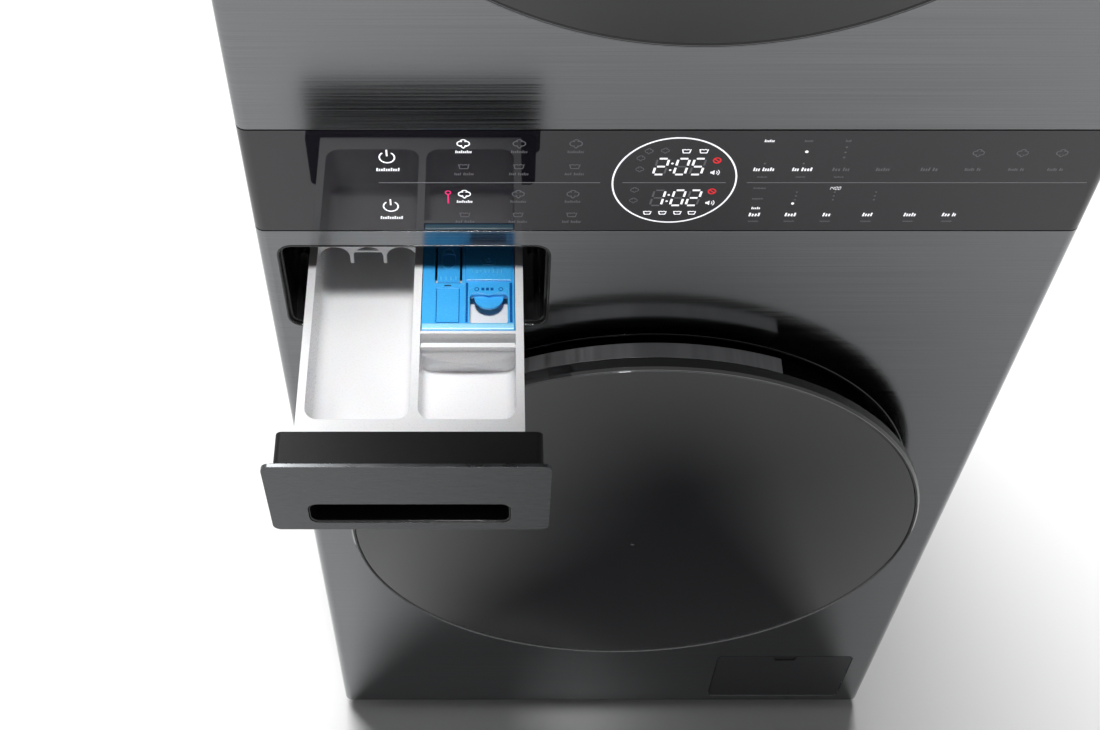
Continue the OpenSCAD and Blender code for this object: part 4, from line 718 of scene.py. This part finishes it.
def insert_details():
    """Lip, lines and embossing of the softener insert, with painted highlights on the lip and raised
    marks and painted shade in the grooves, and the floor seen through its window.
    """
    near = low("softener_insert")
    far = high("softener_insert")
    width = (far.x - near.x) / MM
    place = on_top(near.x, near.y, far.z - INSERT_RAISED)
    # The edge beads and raised marks are real; their blue is lighter than the insert's, which is
    # partly a painted highlight
    blue = blue_plastic("insert_edge_painted_highlight", (0.09, 0.50, 0.93))
    # The lip is a real bead; its blue is lighter than the insert's, which is a painted highlight
    # along it
    lip = Marks(place, 1.0, 1.1)
    lip.bead([(0.6, 3.6), (width - 0.6, 3.6)], 3.0, closed=False, steps=8)
    lip.piece("insert_front_lip", blue_plastic("insert_lip_painted_highlight", (0.32, 0.72, 0.97)), "insert",
              "blue_plastic")
    insert_edges(place, blue)
    insert_step(place, blue)
    painted_shade_in_grooves(place)
    tab_marks(place, blue)
    # Raised floor of the softener compartment that shows through the window
    wall = 3.4
    floor = Marks(place, -43.0, 28.0)
    floor.shape([(wall, wall), (width - wall, wall), (width - wall, 60.0), (wall, 60.0)])
    floor.piece("softener_floor", white_plastic(), "drawer", "white_plastic")


# ---------------------------------------------------------------- trim and screws

def opening_details():
    """Rims round the drawer's opening and a liner in its grip."""
    rim = gloss_black("rim_black", 0.08)
    # The housing reaches this far past the opening at the sides and at its top and foot
    past_side, past_end = 4, 3
    corner = 10
    x0, x1 = low("drawer_housing").x / MM + past_side, high("drawer_housing").x / MM - past_side
    v0, v1 = low("drawer_housing").z / MM + past_end, high("drawer_housing").z / MM - past_end
    for name, inset, depth, proud, half in (("drawer_opening_rim", -0.9, 0, 0.5, 0.9),
                                            ("drawer_opening_inner_rim", 1.2, 3, 0.6, 0.7)):
        marks = Marks(on_front(0, 0, FRONT_Y + depth * MM), 0.0, proud)
        marks.bead(rounded_rect(x0 + inset, v0 + inset, x1 - inset, v1 - inset, corner - inset), half)
        marks.piece(name, rim, "cabinet", "black_plastic")
    # The grip's slot in the front plate, from the block's foot up, and the liner's inset
    half_width, height, foot = 71, 26, low("drawer_front_block").z / MM + 6
    inset = 0.8
    grip = Marks(on_front(middle("drawer_front_plate").x, 0, low("drawer_front_plate").y + 2 * MM),
                 0.0, 1.6)
    grip.bead(rounded_rect(inset - half_width, foot + inset, half_width - inset,
                           foot + height - inset, 6.4), 0.7)
    grip.piece("grip_liner", rim, "drawer", "black_plastic")


def door_details():
    """Bright lines on the ring of each door and the lip of its recess."""
    chrome = steel("chrome_line", (0.17, 0.173, 0.178), 0.1)
    rim = gloss_black("recess_black", 0.08)
    r = DOOR_R / MM
    steps = 160
    for name in ("washer", "dryer"):
        centre = middle(name + "_door_ring")
        line = Marks(on_front(centre.x, centre.z, low(name + "_door_ring").y), -0.1, 0.5)
        line.bead(circle(0, 0, r - 2.0, steps), 0.45)
        line.bead(circle(0, 0, r - 3.3, steps), 0.25)
        line.piece(name + "_door_bright_line", chrome, name + "_door", "ring_gloss")
        lip = Marks(on_front(centre.x, centre.z, FRONT_Y), -0.3, 0.6)
        lip.bead(circle(0, 0, r - 7.2, steps), 0.8)
        lip.piece(name + "_recess_lip", rim, "cabinet", "black_plastic")


def screws():
    """Hexagon screws with washers round the rear panels."""
    rear = on_back(0, 0, high("upper_rear_panel").y)
    washers = Marks(rear, 0.0, 0.8)
    heads = Marks(rear, 0.8, 2.6)
    # Down both sides, then along the top and the foot of each panel
    places = [(x, z) for x in (-285, 285)
              for z in (60, 250, 440, 630, 820, 890, 1075, 1260, 1445, 1610)]
    places += [(x, z) for x in (-140, 0, 140) for z in (45, 836, 872, 1622)]
    for x, z in places:
        washers.disc(x, z, 6, 20)
        heads.disc(x, z, 4, 6)
    zinc = steel("screw_zinc", (0.62, 0.62, 0.6), 0.3)
    washers.piece("rear_washers", zinc, "cabinet", "bearing_steel")
    heads.piece("rear_screws", zinc, "cabinet", "bearing_steel")


# ---------------------------------------------------------------- stage, light and camera

def make_floor():
    """A wide pale floor."""
    mesh = bpy.data.meshes.new("floor")
    half = 40.0
    mesh.from_pydata([(-half, -half, 0), (half, -half, 0), (half, half, 0), (-half, half, 0)], [],
                     [(0, 1, 2, 3)])
    floor = add_object("floor", mesh)
    s = Shader("pale_floor", (0.92, 0.92, 0.92), Roughness=0.9)
    s.vary_color(s.noise(2), 0.005)
    mesh.materials.append(s.mat)


def make_world():
    """White where the camera, metal or glass sees it, and a soft grey light otherwise."""
    world = bpy.data.worlds.new("studio")
    world.use_nodes = True
    bpy.context.scene.world = world
    tree = world.node_tree
    tree.nodes.clear()
    white = (1, 1, 1, 1)
    paths = add_node(tree, "ShaderNodeLightPath")
    out = add_node(tree, "ShaderNodeOutputWorld")
    seen = add_node(tree, "ShaderNodeBackground", Color=white, Strength=1.0)
    soft = add_node(tree, "ShaderNodeBackground", Color=white, Strength=0.08)
    either = add_node(tree, "ShaderNodeMath", operation="MAXIMUM")
    any_of_three = add_node(tree, "ShaderNodeMath", operation="MAXIMUM")
    mix = add_node(tree, "ShaderNodeMixShader")
    for source, target in ((paths.outputs["Is Camera Ray"], either.inputs[0]),
                           (paths.outputs["Is Glossy Ray"], either.inputs[1]),
                           (either.outputs[0], any_of_three.inputs[0]),
                           (paths.outputs["Is Transmission Ray"], any_of_three.inputs[1]),
                           (any_of_three.outputs[0], mix.inputs["Fac"]),
                           (soft.outputs[0], mix.inputs[1]),
                           (seen.outputs[0], mix.inputs[2]),
                           (mix.outputs[0], out.inputs["Surface"])):
        tree.links.new(source, target)


def facing(direction):
    """The turn that points a lamp along a direction."""
    return Vector(direction).to_track_quat("-Z", "Y").to_euler()


def sun_light(name, toward, strength, width):
    """A wide even light that comes from the given direction and is width degrees across."""
    data = bpy.data.lights.new(name, "SUN")
    data.energy = strength
    data.angle = math.radians(width)
    add_object(name, data).rotation_euler = facing(-Vector(toward))


def spot_light(name, place, target, half_angle, power, radius):
    """A soft-edged lamp at a place, aimed at a target."""
    data = bpy.data.lights.new(name, "SPOT")
    data.spot_size = math.radians(2 * half_angle)
    data.spot_blend = 1.0
    data.shadow_soft_size = radius
    data.energy = power
    lamp = add_object(name, data)
    lamp.location = place
    lamp.rotation_euler = facing(Vector(target) - Vector(place))


def make_lights():
    """One wide light from behind and above, and a narrow one down into the drawer."""
    sun_light("studio_sky", toward=(-0.16, 0.68, 1.0), strength=4.4, width=38)
    spot_light("drawer_spot", place=(-0.17, FRONT_Y - 0.24, 1.75),
               target=(-0.187, FRONT_Y - 0.05, 0.8), half_angle=9.5, power=47, radius=0.08)


def make_camera():
    """Close above the drawer, looking steeply down at the front."""
    sideways, before_front, height = -0.1258, 0.728, 1.7002
    tilt = 35.13
    data = bpy.data.cameras.new("camera")
    data.sensor_width = 36
    data.lens = 50.11
    data.shift_x = 0.0511
    data.shift_y = 0.0142
    data.clip_start = 0.01
    camera = add_object("camera", data)
    camera.location = (sideways, FRONT_Y - before_front, height)
    camera.rotation_euler = (math.radians(tilt), 0, 0)
    bpy.context.scene.camera = camera


# ---------------------------------------------------------------- build

bpy.context.scene.view_settings.view_transform = "Standard"
paint_nodes()
panel_marks()
insert_details()
opening_details()
door_details()
screws()
make_floor()
make_world()
make_lights()
make_camera()
